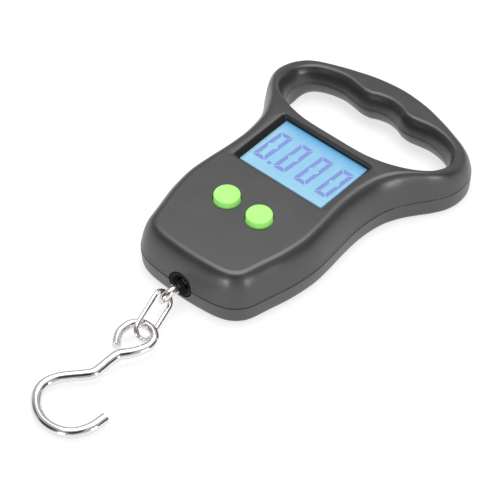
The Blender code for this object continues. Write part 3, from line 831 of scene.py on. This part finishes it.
class HANDSCALE_OT_back_case(Operator):
    """Back moulding with its lip, screw recesses and battery bay"""
    bl_idname = "handscale.back_case"
    bl_label = "Back case"

    def execute(self, context):
        levels = [(*point, 0.0) for point in open_path(BACK_EDGE, 4)] + [(2.5, 6.1, 0.0, 0.0)]
        case = finish_mesh("case_back", case_block(levels, 5, side=-1), [case_finish()])
        lip = [(0, 0, PARTING_Z - 1.0, LIP_WALL), (0, 0, 9.1, LIP_WALL), (0, 0, 9.3, 1.5)]
        boolean(case, case_block(lip, 3), "UNION")
        cavity = [(0, under, z, CAVITY_WALL)
                  for under, z in ((0, 9.8), (0.5, 5.5), (1.4, 3.5), (2.6, WALL))]
        boolean(case, case_block(cavity, 2), "DIFFERENCE")
        posts = bmesh.new()
        for x, y in mirrored(CASE_SCREWS):
            radius = 2.3 if y > GRIP_START_Y else 3.2
            add_post(posts, x, y, 0, radius, 1.0, 9.2)
        boolean(case, posts, "UNION")
        holes = bmesh.new()
        for x, y in mirrored(CASE_SCREWS):
            profile = [(0, -1), (2.9, -1), (2.6, 0.0), (2.3, 0.2), (2.2, 0.45), (2.2, 2.5), (1.4, 2.5),
                       (1.4, 11), (0, 11)]
            lathe(holes, profile, base=(x, y, 0), segments=32)
        self.cut_bay(holes)
        exit_cutter(holes)
        boolean(case, holes, "DIFFERENCE")
        crease_flats(case)
        weighted(case)
        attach(case, "case")
        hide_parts("back_shell")
        return {"FINISHED"}

    def cut_bay(self, bm):
        """Opening for the battery door, with a small chamfer at the outside."""
        rings = []
        for z, grow in ((-1, 0.9), (0.0, 0.25), (0.25, 0.0), (3.0, 0.0)):
            outline = rounded_rectangle(DOOR[0] + 2 * (GAP + grow), DOOR[1] + 2 * (GAP + grow),
                                        DOOR_CORNER + GAP + grow)
            rings.append(level_ring(outline, (0, BAY_Y), z))
        lofted(bm, rings)


class HANDSCALE_OT_battery_door(Operator):
    """Flush battery door with hinge tongues and thumb grooves"""
    bl_idname = "handscale.battery_door"
    bl_label = "Battery door"

    def execute(self, context):
        low_y = BAY_Y - DOOR[1] / 2
        high_y = BAY_Y + DOOR[1] / 2
        bm = bmesh.new()
        plate(bm, DOOR[0], DOOR[1], 0.05, 1.75, (0, BAY_Y), DOOR_CORNER, 0.25)
        door = finish_mesh("battery_cover", bm, [case_finish()])
        tongues = bmesh.new()
        for side in (-1, 1):
            rings = []
            for x in (side * 17 - 3, side * 17 + 3):
                corners = [(low_y + 0.25, 1.0), (low_y + 0.25, 2.35), (low_y - 1.75, 2.35),
                           (low_y - 1.75, 3.1), (low_y - 1.5, 3.35), (low_y + 1.9, 3.35),
                           (low_y + 2.15, 3.1), (low_y + 2.15, 1.0)]
                rings.append([place(x, y, z) for y, z in corners])
            lofted(tongues, rings)
        boolean(door, tongues, "UNION")
        grooves = bmesh.new()
        for step in range(3):
            y = high_y - 3.2 - 1.8 * step
            rings = []
            for z, width, depth in ((-0.6, 12.9, 1.6), (0.05, 12.2, 1.05), (0.3, 12.0, 0.9),
                                    (0.55, 11.6, 0.6)):
                outline = rounded_rectangle(width, depth, depth / 2 - 0.01, 6)
                rings.append(level_ring(outline, (0, y), z))
            lofted(grooves, rings)
        boolean(door, grooves, "DIFFERENCE")
        weighted(door)
        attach(door, "battery_door")
        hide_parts("battery_door")
        return {"FINISHED"}


class HANDSCALE_OT_display(Operator):
    """Display panel, its digits and the clear pane over them"""
    bl_idname = "handscale.display"
    bl_label = "Display"

    width = 6.1
    slant = 0.75
    stroke = 1.75
    gap = 0.2
    middle_mitre = 1.1
    pitch = 10.2
    first = (0.85, 5.75)

    def execute(self, context):
        settings = context.scene.handscale_display
        self.build_panel(settings)
        self.build_digits(settings)
        bm = bmesh.new()
        plate(bm, *PANE, 18.6, 19.1, (0, DISPLAY_Y), 0.8, 0.12)
        pane = finish_mesh("window_pane", bm, [clear_pane("clear_acrylic", (0.95, 0.98, 1.0), 0.06)])
        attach(pane, "case")
        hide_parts("display_lens")
        return {"FINISHED"}

    def build_panel(self, settings):
        """Two glass layers, the lower one with a ledge for its contacts."""
        bm = bmesh.new()
        plate(bm, *PANE, 17.2, 17.74, (0, DISPLAY_Y), 0.3, 0.06, 2)
        plate(bm, PANE[0], 26.9, 17.76, 18.3, (0, DISPLAY_Y + 0.95), 0.3, 0.06, 2)
        finish = Finish("lit_panel", 0.35)
        base = Vector(settings.backlight)
        axes = finish.node("SeparateXYZ", {"Vector": finish.coordinates})
        low = place(-GLASS[0] / 2, DISPLAY_Y - GLASS[1] / 2, 0)
        high = place(GLASS[0] / 2, DISPLAY_Y + GLASS[1] / 2, 0)
        far = finish.remap(axes.outputs["Y"], 0.0, 1.0, high.y - 0.0065, high.y + 0.0003)
        left = finish.remap(axes.outputs["X"], 1.0, 0.0, low.x, low.x + 0.007)
        near = finish.remap(axes.outputs["Y"], 1.0, 0.0, low.y, low.y + 0.012)
        mottle = finish.remap(finish.noise(5.0, 3.0), 0.0, 1.0)
        plain = finish.mix(mottle, solid(base, 0.96), (base.x * 1.10, base.y * 1.03, base.z, 1))
        pale = finish.mix(finish.math("MULTIPLY", left, 0.55), plain, (0.44, 0.84, 1.0, 1))
        pale = finish.mix(finish.math("MULTIPLY", near, 0.25), pale, (0.36, 0.80, 1.0, 1))
        deep = finish.mix(finish.math("POWER", far, 1.6), pale, (0.085, 0.48, 0.93, 1))
        finish.light_up(deep, settings.glow, 0.3)
        panel = finish_mesh("display_panel", bm, [finish.material])
        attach(panel, "case")
        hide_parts("lcd_panel")

    def build_digits(self, settings):
        """Four noughts with a decimal point after the first."""
        bm = bmesh.new()
        corner = Vector((-GLASS[0] / 2 + self.first[0], DISPLAY_Y - GLASS[1] / 2 + self.first[1]))
        for number in range(4):
            low = corner + Vector((self.pitch * number, 0))
            for bar in BARS:
                self.add_bar(bm, low, bar, settings.digit_height)
        point = corner + Vector((self.width + 1.4, -0.3))
        self.add_flat(bm, [point, point + Vector((1.6, 0)), point + Vector((1.67, 1.5)),
                           point + Vector((0.07, 1.5))])
        finish = Finish("digit_ink", 0.5)
        shade = finish.tint(finish.noise(3.0, 2.0), settings.digits, 0.96, 1.05)
        finish.light_up(shade, settings.glow, 0.2)
        digits = finish_mesh("display_digits", bm, [finish.material])
        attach(digits, "case")

    def add_bar(self, bm, low, bar, height):
        """One bar with mitred ends, set in from the digit's outline by half its stroke."""
        half = self.stroke / 2
        size = Vector((self.width - self.stroke, height - self.stroke))
        start, end = [Vector((at[0] * size.x + half, at[1] * size.y + half)) for at in bar]
        along = (end - start).normalized()
        across = Vector((-along.y, along.x))
        outward = Vector(((bar[0][0] + bar[1][0]) / 2 - 0.5, (bar[0][1] + bar[1][1]) / 2 - 0.5))
        if across.dot(Vector((outward.x * size.y, outward.y * size.x))) < 0:
            across = -across
        points = []
        for spot, way, at in ((start, along, bar[0]), (end, -along, bar[1])):
            mitre = half if at[1] in (0, 1) else self.middle_mitre
            inner = spot + way * (self.gap + mitre) - across * half
            outer = spot + way * (self.gap - mitre * 0.75) + across * half
            points.append((inner, outer))
        outline = [points[0][0], points[0][1], points[1][1], points[1][0]]
        self.add_flat(bm, [low + self.slanted(point, height) for point in outline])

    def slanted(self, point, height):
        return Vector((point.x + self.slant * point.y / height, point.y))

    def add_flat(self, bm, outline):
        verts = [bm.verts.new(place(point.x, point.y, INK_Z)) for point in outline]
        face = bm.faces.new(verts)
        raised = bmesh.ops.extrude_face_region(bm, geom=[face])["geom"]
        moved = [item for item in raised if isinstance(item, bmesh.types.BMVert)]
        bmesh.ops.translate(bm, vec=(0, 0, INK_HEIGHT * MM), verts=moved)


class HANDSCALE_OT_buttons(Operator):
    """Two round push buttons with domed rims"""
    bl_idname = "handscale.buttons"
    bl_label = "Buttons"

    def execute(self, context):
        colour = context.scene.handscale_buttons.colour
        # The third colour is the caps' painted glow, a faint green emission
        finish = button_plastic("lime_resin", colour, (0.40, 0.95, 0.26))
        cap = rounded_profile([(0, 18.2), (6.3, 18.2), (6.3, 19.05), (BUTTON_RADIUS, 19.05),
                               (BUTTON_RADIUS, BUTTON_TOP_Z - 0.35), (4.1, BUTTON_TOP_Z),
                               (0, BUTTON_TOP_Z)], 0.9, 6)
        for label, side in (("left", -1), ("right", 1)):
            bm = bmesh.new()
            lathe(bm, cap, base=(side * BUTTON_X, BUTTON_Y, 0), segments=96)
            button = finish_mesh(label + "_button_cap", bm, [finish], sharp=50)
            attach(button, label + "_button")
            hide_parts(label + "_button")
        return {"FINISHED"}


class HANDSCALE_OT_exit_bush(Operator):
    """Black rubber bush round the rod, with radial ribs on its face"""
    bl_idname = "handscale.exit_bush"
    bl_label = "Exit bush"

    def execute(self, context):
        bm = bmesh.new()
        outside = EXIT_RADIUS - GAP
        profile = [(3.0, 4.2), (3.0, 1.9), (3.3, 1.6), (4.2, 0.85), (4.4, 0.65), (4.8, 0.42),
                   (outside - 0.1, 0.45), (outside, 0.8), (outside, 4.2)]
        lathe(bm, profile, base=(0, 0, PARTING_Z), axis=(0, 1, 0), segments=72)
        bmesh.ops.recalc_face_normals(bm, faces=bm.faces)
        self.raise_ribs(bm)
        skin = rubber_finish("black_rubber_skin", (0.014, 0.014, 0.014))
        bush = finish_mesh("rubber_bush", bm, [skin])
        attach(bush, "case")
        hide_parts("exit_bush")
        return {"FINISHED"}

    def raise_ribs(self, bm):
        """Raise every other facet of the sloping face."""
        centre = place(0, 0, PARTING_Z)
        ribs = []
        for face in bm.faces:
            offset = face.calc_center_median() - centre
            radius = math.hypot(offset.x, offset.z) / MM
            sector = int((math.atan2(offset.z, offset.x) / (2 * math.pi) + 1.0) * 36)
            if 3.3 < radius < 4.2 and offset.y < 2.0 * MM and sector % 2 == 0:
                ribs.append(face)
        bmesh.ops.inset_individual(bm, faces=ribs, thickness=0.05 * MM, depth=0.14 * MM)


class HANDSCALE_OT_weighing_eye(Operator):
    """Threaded rod with its closed ring"""
    bl_idname = "handscale.weighing_eye"
    bl_label = "Weighing eye"

    def execute(self, context):
        centre = place(0, EYE_Y, PARTING_Z)
        bm = bmesh.new()
        made = bmesh.ops.create_circle(bm, cap_ends=False, radius=ROD_RADIUS * MM, segments=32)
        edges = list({edge for vert in made["verts"] for edge in vert.link_edges})
        upright = Matrix.Rotation(math.pi / 2, 3, "X")
        bmesh.ops.rotate(bm, cent=(0, 0, 0), matrix=upright, verts=bm.verts)
        bmesh.ops.translate(bm, vec=(EYE_RADIUS * MM, 0, 0), verts=bm.verts)
        bmesh.ops.spin(bm, geom=list(bm.verts) + edges, cent=(0, 0, 0), axis=(0, 0, 1),
                       angle=2 * math.pi, steps=80, use_merge=True)
        bmesh.ops.remove_doubles(bm, verts=bm.verts, dist=MERGE_DISTANCE)
        turn = Matrix.Rotation(EYE_TURN, 3, "Y") @ Matrix.Rotation(math.pi / 2, 3, "Y")
        bmesh.ops.rotate(bm, cent=(0, 0, 0), matrix=turn, verts=bm.verts)
        bmesh.ops.translate(bm, vec=centre, verts=bm.verts)
        eye = finish_mesh("eye_ring", bm, [steel_finish()])
        neck = bmesh.new()
        profile = [(0, EYE_RADIUS - 0.2), (NECK_RADIUS, EYE_RADIUS - 0.2),
                   (NECK_RADIUS, EYE_RADIUS + 3.6), (1.9, EYE_RADIUS + 4.0),
                   (ROD_RADIUS, EYE_RADIUS + 4.2), (ROD_RADIUS, 12.4)]
        for thread in range(THREAD_TURNS):
            low = THREAD_START + THREAD_PITCH * thread
            profile += [(1.6, low), (1.3, low + 0.32), (1.3, low + 0.4), (1.6, low + 0.7)]
        profile += [(1.3, 23.3), (0, 23.4)]
        lathe(neck, profile, base=(0, EYE_Y, PARTING_Z), axis=(0, 1, 0), segments=32)
        boolean(eye, neck, "UNION", 40)
        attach(eye, "case")
        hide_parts("eye_bolt")
        return {"FINISHED"}


class HANDSCALE_OT_chain_link(Operator):
    """Oval wire link with its butt weld"""
    bl_idname = "handscale.chain_link"
    bl_label = "Chain link"

    def execute(self, context):
        down = math.sin(LINK_PITCH)
        level = math.cos(LINK_PITCH)
        along = Vector((math.sin(LINK_YAW) * level, -math.cos(LINK_YAW) * level, -down))
        flat = Vector((math.cos(LINK_YAW), math.sin(LINK_YAW), 0))
        up = along.cross(flat)
        if up.z < 0:
            up = -up
        across = flat * math.cos(LINK_ROLL) - up * math.sin(LINK_ROLL)
        start = Vector(LINK_START)
        leg = LINK_LENGTH - 2 * LINK_HALF_WIDTH
        points = []
        for end, distance in ((1, LINK_HALF_WIDTH), (-1, LINK_HALF_WIDTH + leg)):
            centre = start + along * distance
            for step in range(25):
                angle = math.pi * step / 24
                side = -across * math.cos(angle) * end
                points.append(centre + (side - along * math.sin(angle) * end) * LINK_HALF_WIDTH)
            ahead = along * end * leg
            points += [points[-1] + ahead * step / 28 for step in range(1, 28)]
        bm = bmesh.new()
        sweep(bm, points, self.wire_radius, sides=24, closed=True)
        link = finish_mesh("wire_link", bm, [steel_finish()], sharp=60)
        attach(link, "link")
        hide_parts("chain_link")
        return {"FINISHED"}

    def wire_radius(self, share):
        """The wire swells a little on both sides of the weld's groove."""
        away = (share - 0.37) / 0.022
        bead = math.exp(-(away - 1) ** 2 * 2.2) + math.exp(-(away + 1) ** 2 * 2.2)
        return LINK_WIRE * (1.0 + 0.14 * bead - 0.05 * math.exp(-away ** 2 * 6))


class HANDSCALE_OT_hook(Operator):
    """Bent wire hook with a teardrop eye and flat-cut ends"""
    bl_idname = "handscale.hook"
    bl_label = "Hook"

    def execute(self, context):
        pivot = Vector(HOOK_PIVOT)
        points = []
        for point in open_path(HOOK_PATH, 8):
            offset = point - pivot.xy
            height = HOOK_PLANE_Z + offset.y * math.tan(HOOK_PITCH) + offset.x * math.tan(HOOK_ROLL)
            points.append(Vector((point.x, point.y, height)))
        first_way = (points[0] - points[1]).normalized()
        last_way = (points[-1] - points[-2]).normalized()
        points.insert(0, points[0] + first_way * CUT_CHAMFER[1])
        points.append(points[-1] + last_way * CUT_CHAMFER[1])
        bm = bmesh.new()
        sweep(bm, points, self.wire_radius, sides=32)
        hook = finish_mesh("wire_hook", bm, [steel_finish()], sharp=40)
        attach(hook, "hook")
        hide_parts("hook")
        return {"FINISHED"}

    def wire_radius(self, share):
        """The wire is slimmer round the eye. Both ends are cut flat with a small chamfer."""
        radius = HOOK_WIRE - (HOOK_WIRE - HOOK_EYE_WIRE) * smooth_step(*HOOK_TAPER, share)
        return radius - (CUT_CHAMFER[0] if share in (0.0, 1.0) else 0.0)


class HANDSCALE_OT_case_screws(Operator):
    """Cross-head screws that hold the two mouldings together"""
    bl_idname = "handscale.case_screws"
    bl_label = "Case screws"

    def execute(self, context):
        for number, (x, y) in enumerate(mirrored(CASE_SCREWS), 1):
            top = case_height(y, POST_TOP_Z) - 1.9
            profile = [(0, 0.92), (0.8, 0.93), (1.4, 1.05), (1.8, 1.35), (1.9, 1.6), (1.9, 2.2),
                       (1.0, 2.2)]
            low = 3.0
            while low + SCREW_PITCH < top:
                profile += [(1.0, low), (0.72, low + 0.4), (0.72, low + 0.5), (1.0, low + 0.85)]
                low += SCREW_PITCH
            profile += [(0.7, top - 0.1), (0, top)]
            bm = bmesh.new()
            lathe(bm, profile, base=(x, y, 0), segments=24)
            screw = finish_mesh("cross_head_screw_%d" % number, bm, [screw_finish()])
            recess = bmesh.new()
            self.add_cross(recess, x, y)
            boolean(screw, recess, "DIFFERENCE")
            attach(screw, "case")
            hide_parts("case_screw_%d" % number)
        return {"FINISHED"}

    def add_cross(self, bm, x, y):
        """Tapered cross, drawn as one outline and narrowed towards its bottom."""
        rings = []
        for z, arm, web in ((0.5, 1.25, 0.3), (1.9, 0.55, 0.16)):
            outline = []
            for quarter in range(4):
                turn = Matrix.Rotation(math.pi / 2 * quarter, 2)
                outline += [turn @ Vector(point) for point in ((arm, -web), (arm, web), (web, web))]
            rings.append(level_ring(outline, (x, y), z))
        lofted(bm, rings)


class HANDSCALE_OT_battery_bay(Operator):
    """Cells and coned contact springs behind the battery door"""
    bl_idname = "handscale.battery_bay"
    bl_label = "Battery bay"

    def execute(self, context):
        for number, side in ((1, 1), (2, -1)):
            y = BAY_Y + side * CELL_PITCH / 2
            self.add_cell(number, side, y)
            self.add_spring(number, side, y)
        return {"FINISHED"}

    def add_cell(self, number, side, y):
        cell = [(0, 0.15), (3.4, 0.15), (3.7, 0.0), (4.7, 0.0), (5.1, 0.2), (CELL_RADIUS, 0.55),
                (CELL_RADIUS, 42.9), (5.15, 43.25), (4.9, 43.45), (4.5, 43.5), (4.2, 43.3), (2.3, 43.3),
                (1.95, 43.5), (1.9, 44.3), (1.7, 44.5), (0, 44.5)]
        bm = bmesh.new()
        lathe(bm, cell, base=(-side * CELL_START, y, CELL_Z), axis=(side, 0, 0), segments=64)
        finish = Finish("cell_%d" % number, 0.3, 0.5)
        along = finish.node("SeparateXYZ", {"Vector": finish.coordinates}).outputs["X"]
        share = finish.math("MULTIPLY", along, side / MM)
        band = finish.math("GREATER_THAN", share, CELL_BAND)
        cap = finish.math("GREATER_THAN", share, CELL_CAP)
        grain = finish.remap(finish.noise(1.2, 3.0), 0.0, 1.0)
        sleeve = finish.mix(grain, (0.50, 0.52, 0.55, 1), (0.58, 0.60, 0.62, 1))
        sleeve = finish.mix(band, sleeve, (0.03, 0.10, 0.22, 1))
        finish.drive("Base Color", finish.mix(cap, sleeve, (0.72, 0.71, 0.68, 1)))
        finish.drive("Roughness", finish.remap(grain, 0.24, 0.34, 0.0, 1.0))
        finish.bump(finish.noise(0.6, 3.0), 0.01)
        piece = finish_mesh("cell_sleeve_%d" % number, bm, [finish.material])
        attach(piece, "case")
        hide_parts("battery_%d" % number)

    def add_spring(self, number, side, y):
        """Coned wire spring that starts with a flat turn on the plate."""
        turns, steps = 4.5, 24
        points = []
        for step in range(int(turns * steps) + 1):
            share = step / (turns * steps)
            angle = 2 * math.pi * turns * share
            radius = 3.3 - 1.6 * share
            height = 0.3 + 3.3 * max(share - 0.12, 0.0) / 0.88
            points.append((side * (height - CONTACT_X), y + radius * math.cos(angle),
                           CELL_Z + radius * math.sin(angle)))
        bm = bmesh.new()
        sweep(bm, points, lambda share: 0.25, sides=10)
        spring = finish_mesh("cone_spring_%d" % number, bm, [screw_finish()], sharp=50)
        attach(spring, "case")
        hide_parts("battery_spring_%d" % number)


def board_finish():
    """Green solder mask over faint copper tracks."""
    finish = Finish("solder_mask", 0.3)
    tracks = finish.node("TexVoronoi", {"Vector": finish.coordinates, "Scale": 260.0},
                         feature="DISTANCE_TO_EDGE", distance="CHEBYCHEV").outputs["Distance"]
    line = finish.remap(tracks, 1.0, 0.0, 0.05, 0.09)
    grain = finish.remap(finish.noise(0.8, 3.0), 0.0, 1.0)
    mask = finish.mix(grain, (0.012, 0.11, 0.04, 1), (0.016, 0.14, 0.05, 1))
    finish.drive("Base Color", finish.mix(line, mask, (0.03, 0.24, 0.09, 1)))
    finish.drive("Roughness", finish.remap(grain, 0.24, 0.36, 0.0, 1.0))
    finish.bump(line, 0.03)
    return finish.material


class HANDSCALE_OT_inner_parts(Operator):
    """Finishes of the electronics, load cell and battery contacts"""
    bl_idname = "handscale.inner_parts"
    bl_label = "Inner parts"

    def execute(self, context):
        black = black_finish()
        chip = moulded_plastic("chip_resin", (0.022, 0.022, 0.024), 0.42, 0.15, 0.006)
        rubber = rubber_finish("black_strip", (0.016, 0.016, 0.017))
        aluminium = plain_metal("machined_aluminium", (0.74, 0.75, 0.77), 0.34, (1, 8, 1), 0.6)
        contact = plain_metal("nickel_washed_strip", (0.72, 0.67, 0.52), 0.26, (1, 1, 5), 0.5)
        foil = gloss_plastic("amber_film", (0.55, 0.33, 0.07), 0.22)
        lead = gloss_plastic("red_sleeve", (0.48, 0.03, 0.02), 0.35)
        guide = gloss_plastic("milky_guide", (0.82, 0.88, 0.95), 0.2)
        finishes = {
            "battery_tray": black, "display_frame": black, "left_plunger": black,
            "right_plunger": black, "controller_chip": chip, "buzzer": chip, "zebra_strip": rubber,
            "load_cell": aluminium, "battery_bus": contact, "battery_terminals": contact,
            "strain_gauge_top": foil, "strain_gauge_bottom": foil, "gauge_leads": lead,
            "backlight_panel": guide, "circuit_board": board_finish(),
        }
        for node in ("left_switch", "right_switch", "eye_nut", "board_screw_1", "board_screw_2",
                     "cell_screw_1", "cell_screw_2"):
            finishes[node] = screw_finish()
        for node, finish in finishes.items():
            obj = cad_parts[node]
            for slot in obj.material_slots:
                slot.material = finish
        return {"FINISHED"}


class HANDSCALE_OT_stage(Operator):
    """Floor, soft studio light and camera"""
    bl_idname = "handscale.stage"
    bl_label = "Stage"

    def execute(self, context):
        settings = context.scene.handscale_stage
        self.add_floor(settings)
        self.add_world(context, settings)
        self.add_light("overhead_softbox", (-0.08, 0.17, 0.80), 0.66, settings.key)
        self.add_light("left_softbox", (0.13, -0.95, 0.18), 0.22, settings.key * SIDE_LIGHT_SHARE)
        self.add_light("right_softbox", (0.95, -0.10, 0.18), 0.22, settings.key * SIDE_LIGHT_SHARE)
        self.add_camera(context)
        context.scene.view_settings.view_transform = "Standard"
        return {"FINISHED"}

    def add_floor(self, settings):
        """A glowing pale floor that is clear when it is seen from below."""
        bm = bmesh.new()
        bmesh.ops.create_grid(bm, x_segments=1, y_segments=1, size=4.0)
        level = min(CAD_BOX[0].z, 0.0) - FLOOR_GAP * MM
        bmesh.ops.translate(bm, vec=(0, 0, level), verts=bm.verts)
        mesh = bpy.data.meshes.new("floor")
        bm.to_mesh(mesh)
        bm.free()
        floor = bpy.data.objects.new("floor", mesh)
        bpy.context.scene.collection.objects.link(floor)
        finish = Finish("pale_floor", 0.7)
        finish.drive("Base Color", finish.tint(finish.noise(120.0, 2.0), settings.floor, 0.99, 1.0))
        finish.set(Specular_IOR_Level=0.2, Emission_Color=(1, 1, 1, 1), Emission_Strength=FLOOR_GLOW)
        clear = finish.node("BsdfTransparent").outputs[0]
        behind = finish.node("NewGeometry").outputs["Backfacing"]
        mixed = finish.node("MixShader", {0: behind, 1: finish.shader.outputs[0], 2: clear})
        output = finish.tree.nodes["Material Output"]
        finish.tree.links.new(mixed.outputs[0], output.inputs["Surface"])
        mesh.materials.append(finish.material)

    def add_world(self, context, settings):
        """White surround with darker openings that the polished wire picks up."""
        world = bpy.data.worlds.new("studio")
        context.scene.world = world
        world.use_nodes = True
        tree = world.node_tree
        background = tree.nodes["Background"]
        way = tree.nodes.new("ShaderNodeTexCoord").outputs["Generated"]
        share = 1.0
        for direction, half_angle, depth in DARK_PATCHES:
            dot = add_node(tree, "VectorMath", {0: way, 1: Vector(direction).normalized()},
                           operation="DOT_PRODUCT").outputs["Value"]
            rim = {"From Min": math.cos(math.radians(half_angle + 4)),
                   "From Max": math.cos(math.radians(half_angle - 2))}
            edge = add_node(tree, "MapRange", {"Value": dot, **rim, "To Min": 1.0, "To Max": 1.0 - depth})
            inputs = {0: share, 1: edge.outputs["Result"]}
            share = add_node(tree, "Math", inputs, operation="MULTIPLY").outputs[0]
        level = add_node(tree, "Math", {0: share, 1: settings.sky}, operation="MULTIPLY").outputs[0]
        tree.links.new(level, background.inputs["Strength"])
        background.inputs["Color"].default_value = (1.0, 1.0, 1.0, 1.0)

    def add_light(self, name, spot, size, power):
        light = bpy.data.lights.new(name, "AREA")
        light.shape = "SQUARE"
        light.size = size
        light.energy = power
        lamp = bpy.data.objects.new(name, light)
        lamp.location = spot
        lamp.rotation_euler = (LIGHT_TARGET - Vector(spot)).to_track_quat("-Z", "Y").to_euler()
        bpy.context.scene.collection.objects.link(lamp)

    def add_camera(self, context):
        lens = bpy.data.cameras.new("camera")
        lens.lens = CAMERA_LENS
        lens.sensor_width = CAMERA_SENSOR
        lens.clip_start = 0.05
        lens.clip_end = 20.0
        camera = bpy.data.objects.new("camera", lens)
        back = CAMERA_RIGHT.cross(CAMERA_UP)
        turn = Matrix((CAMERA_RIGHT, CAMERA_UP, back)).transposed()
        camera.matrix_world = Matrix.Translation(CAMERA_PLACE) @ turn.to_4x4()
        context.scene.collection.objects.link(camera)
        context.scene.camera = camera


STEPS = (HANDSCALE_OT_front_case, HANDSCALE_OT_back_case, HANDSCALE_OT_battery_door,
         HANDSCALE_OT_display, HANDSCALE_OT_buttons, HANDSCALE_OT_exit_bush,
         HANDSCALE_OT_weighing_eye, HANDSCALE_OT_chain_link, HANDSCALE_OT_hook,
         HANDSCALE_OT_case_screws, HANDSCALE_OT_battery_bay, HANDSCALE_OT_inner_parts,
         HANDSCALE_OT_stage)
SETTINGS = {"handscale_case": HANDSCALE_PG_case, "handscale_display": HANDSCALE_PG_display,
            "handscale_buttons": HANDSCALE_PG_buttons, "handscale_steel": HANDSCALE_PG_steel,
            "handscale_stage": HANDSCALE_PG_stage}


class HANDSCALE_PT_panel(Panel):
    """Sizes, colours and pieces of the hand scale"""
    bl_idname = "HANDSCALE_PT_panel"
    bl_label = "Hanging hand scale"
    bl_space_type = "VIEW_3D"
    bl_region_type = "UI"
    bl_category = "Scale"

    def draw(self, context):
        for name in SETTINGS:
            group = getattr(context.scene, name)
            box = self.layout.box()
            for key in group.__annotations__:
                box.prop(group, key)
        for step in STEPS:
            self.layout.operator(step.bl_idname)


def register():
    for cls in (*SETTINGS.values(), *STEPS, HANDSCALE_PT_panel):
        bpy.utils.register_class(cls)
    for name, cls in SETTINGS.items():
        setattr(bpy.types.Scene, name, PointerProperty(type=cls))


def unregister():
    for name in SETTINGS:
        delattr(bpy.types.Scene, name)
    for cls in reversed((*SETTINGS.values(), *STEPS, HANDSCALE_PT_panel)):
        bpy.utils.unregister_class(cls)


def main():
    register()
    bpy.ops.handscale.stage()
    bpy.ops.handscale.front_case()
    bpy.ops.handscale.back_case()
    bpy.ops.handscale.battery_door()
    bpy.ops.handscale.display()
    bpy.ops.handscale.buttons()
    bpy.ops.handscale.exit_bush()
    bpy.ops.handscale.weighing_eye()
    bpy.ops.handscale.chain_link()
    bpy.ops.handscale.hook()
    bpy.ops.handscale.case_screws()
    bpy.ops.handscale.battery_bay()
    bpy.ops.handscale.inner_parts()


if __name__ == "__main__":
    main()
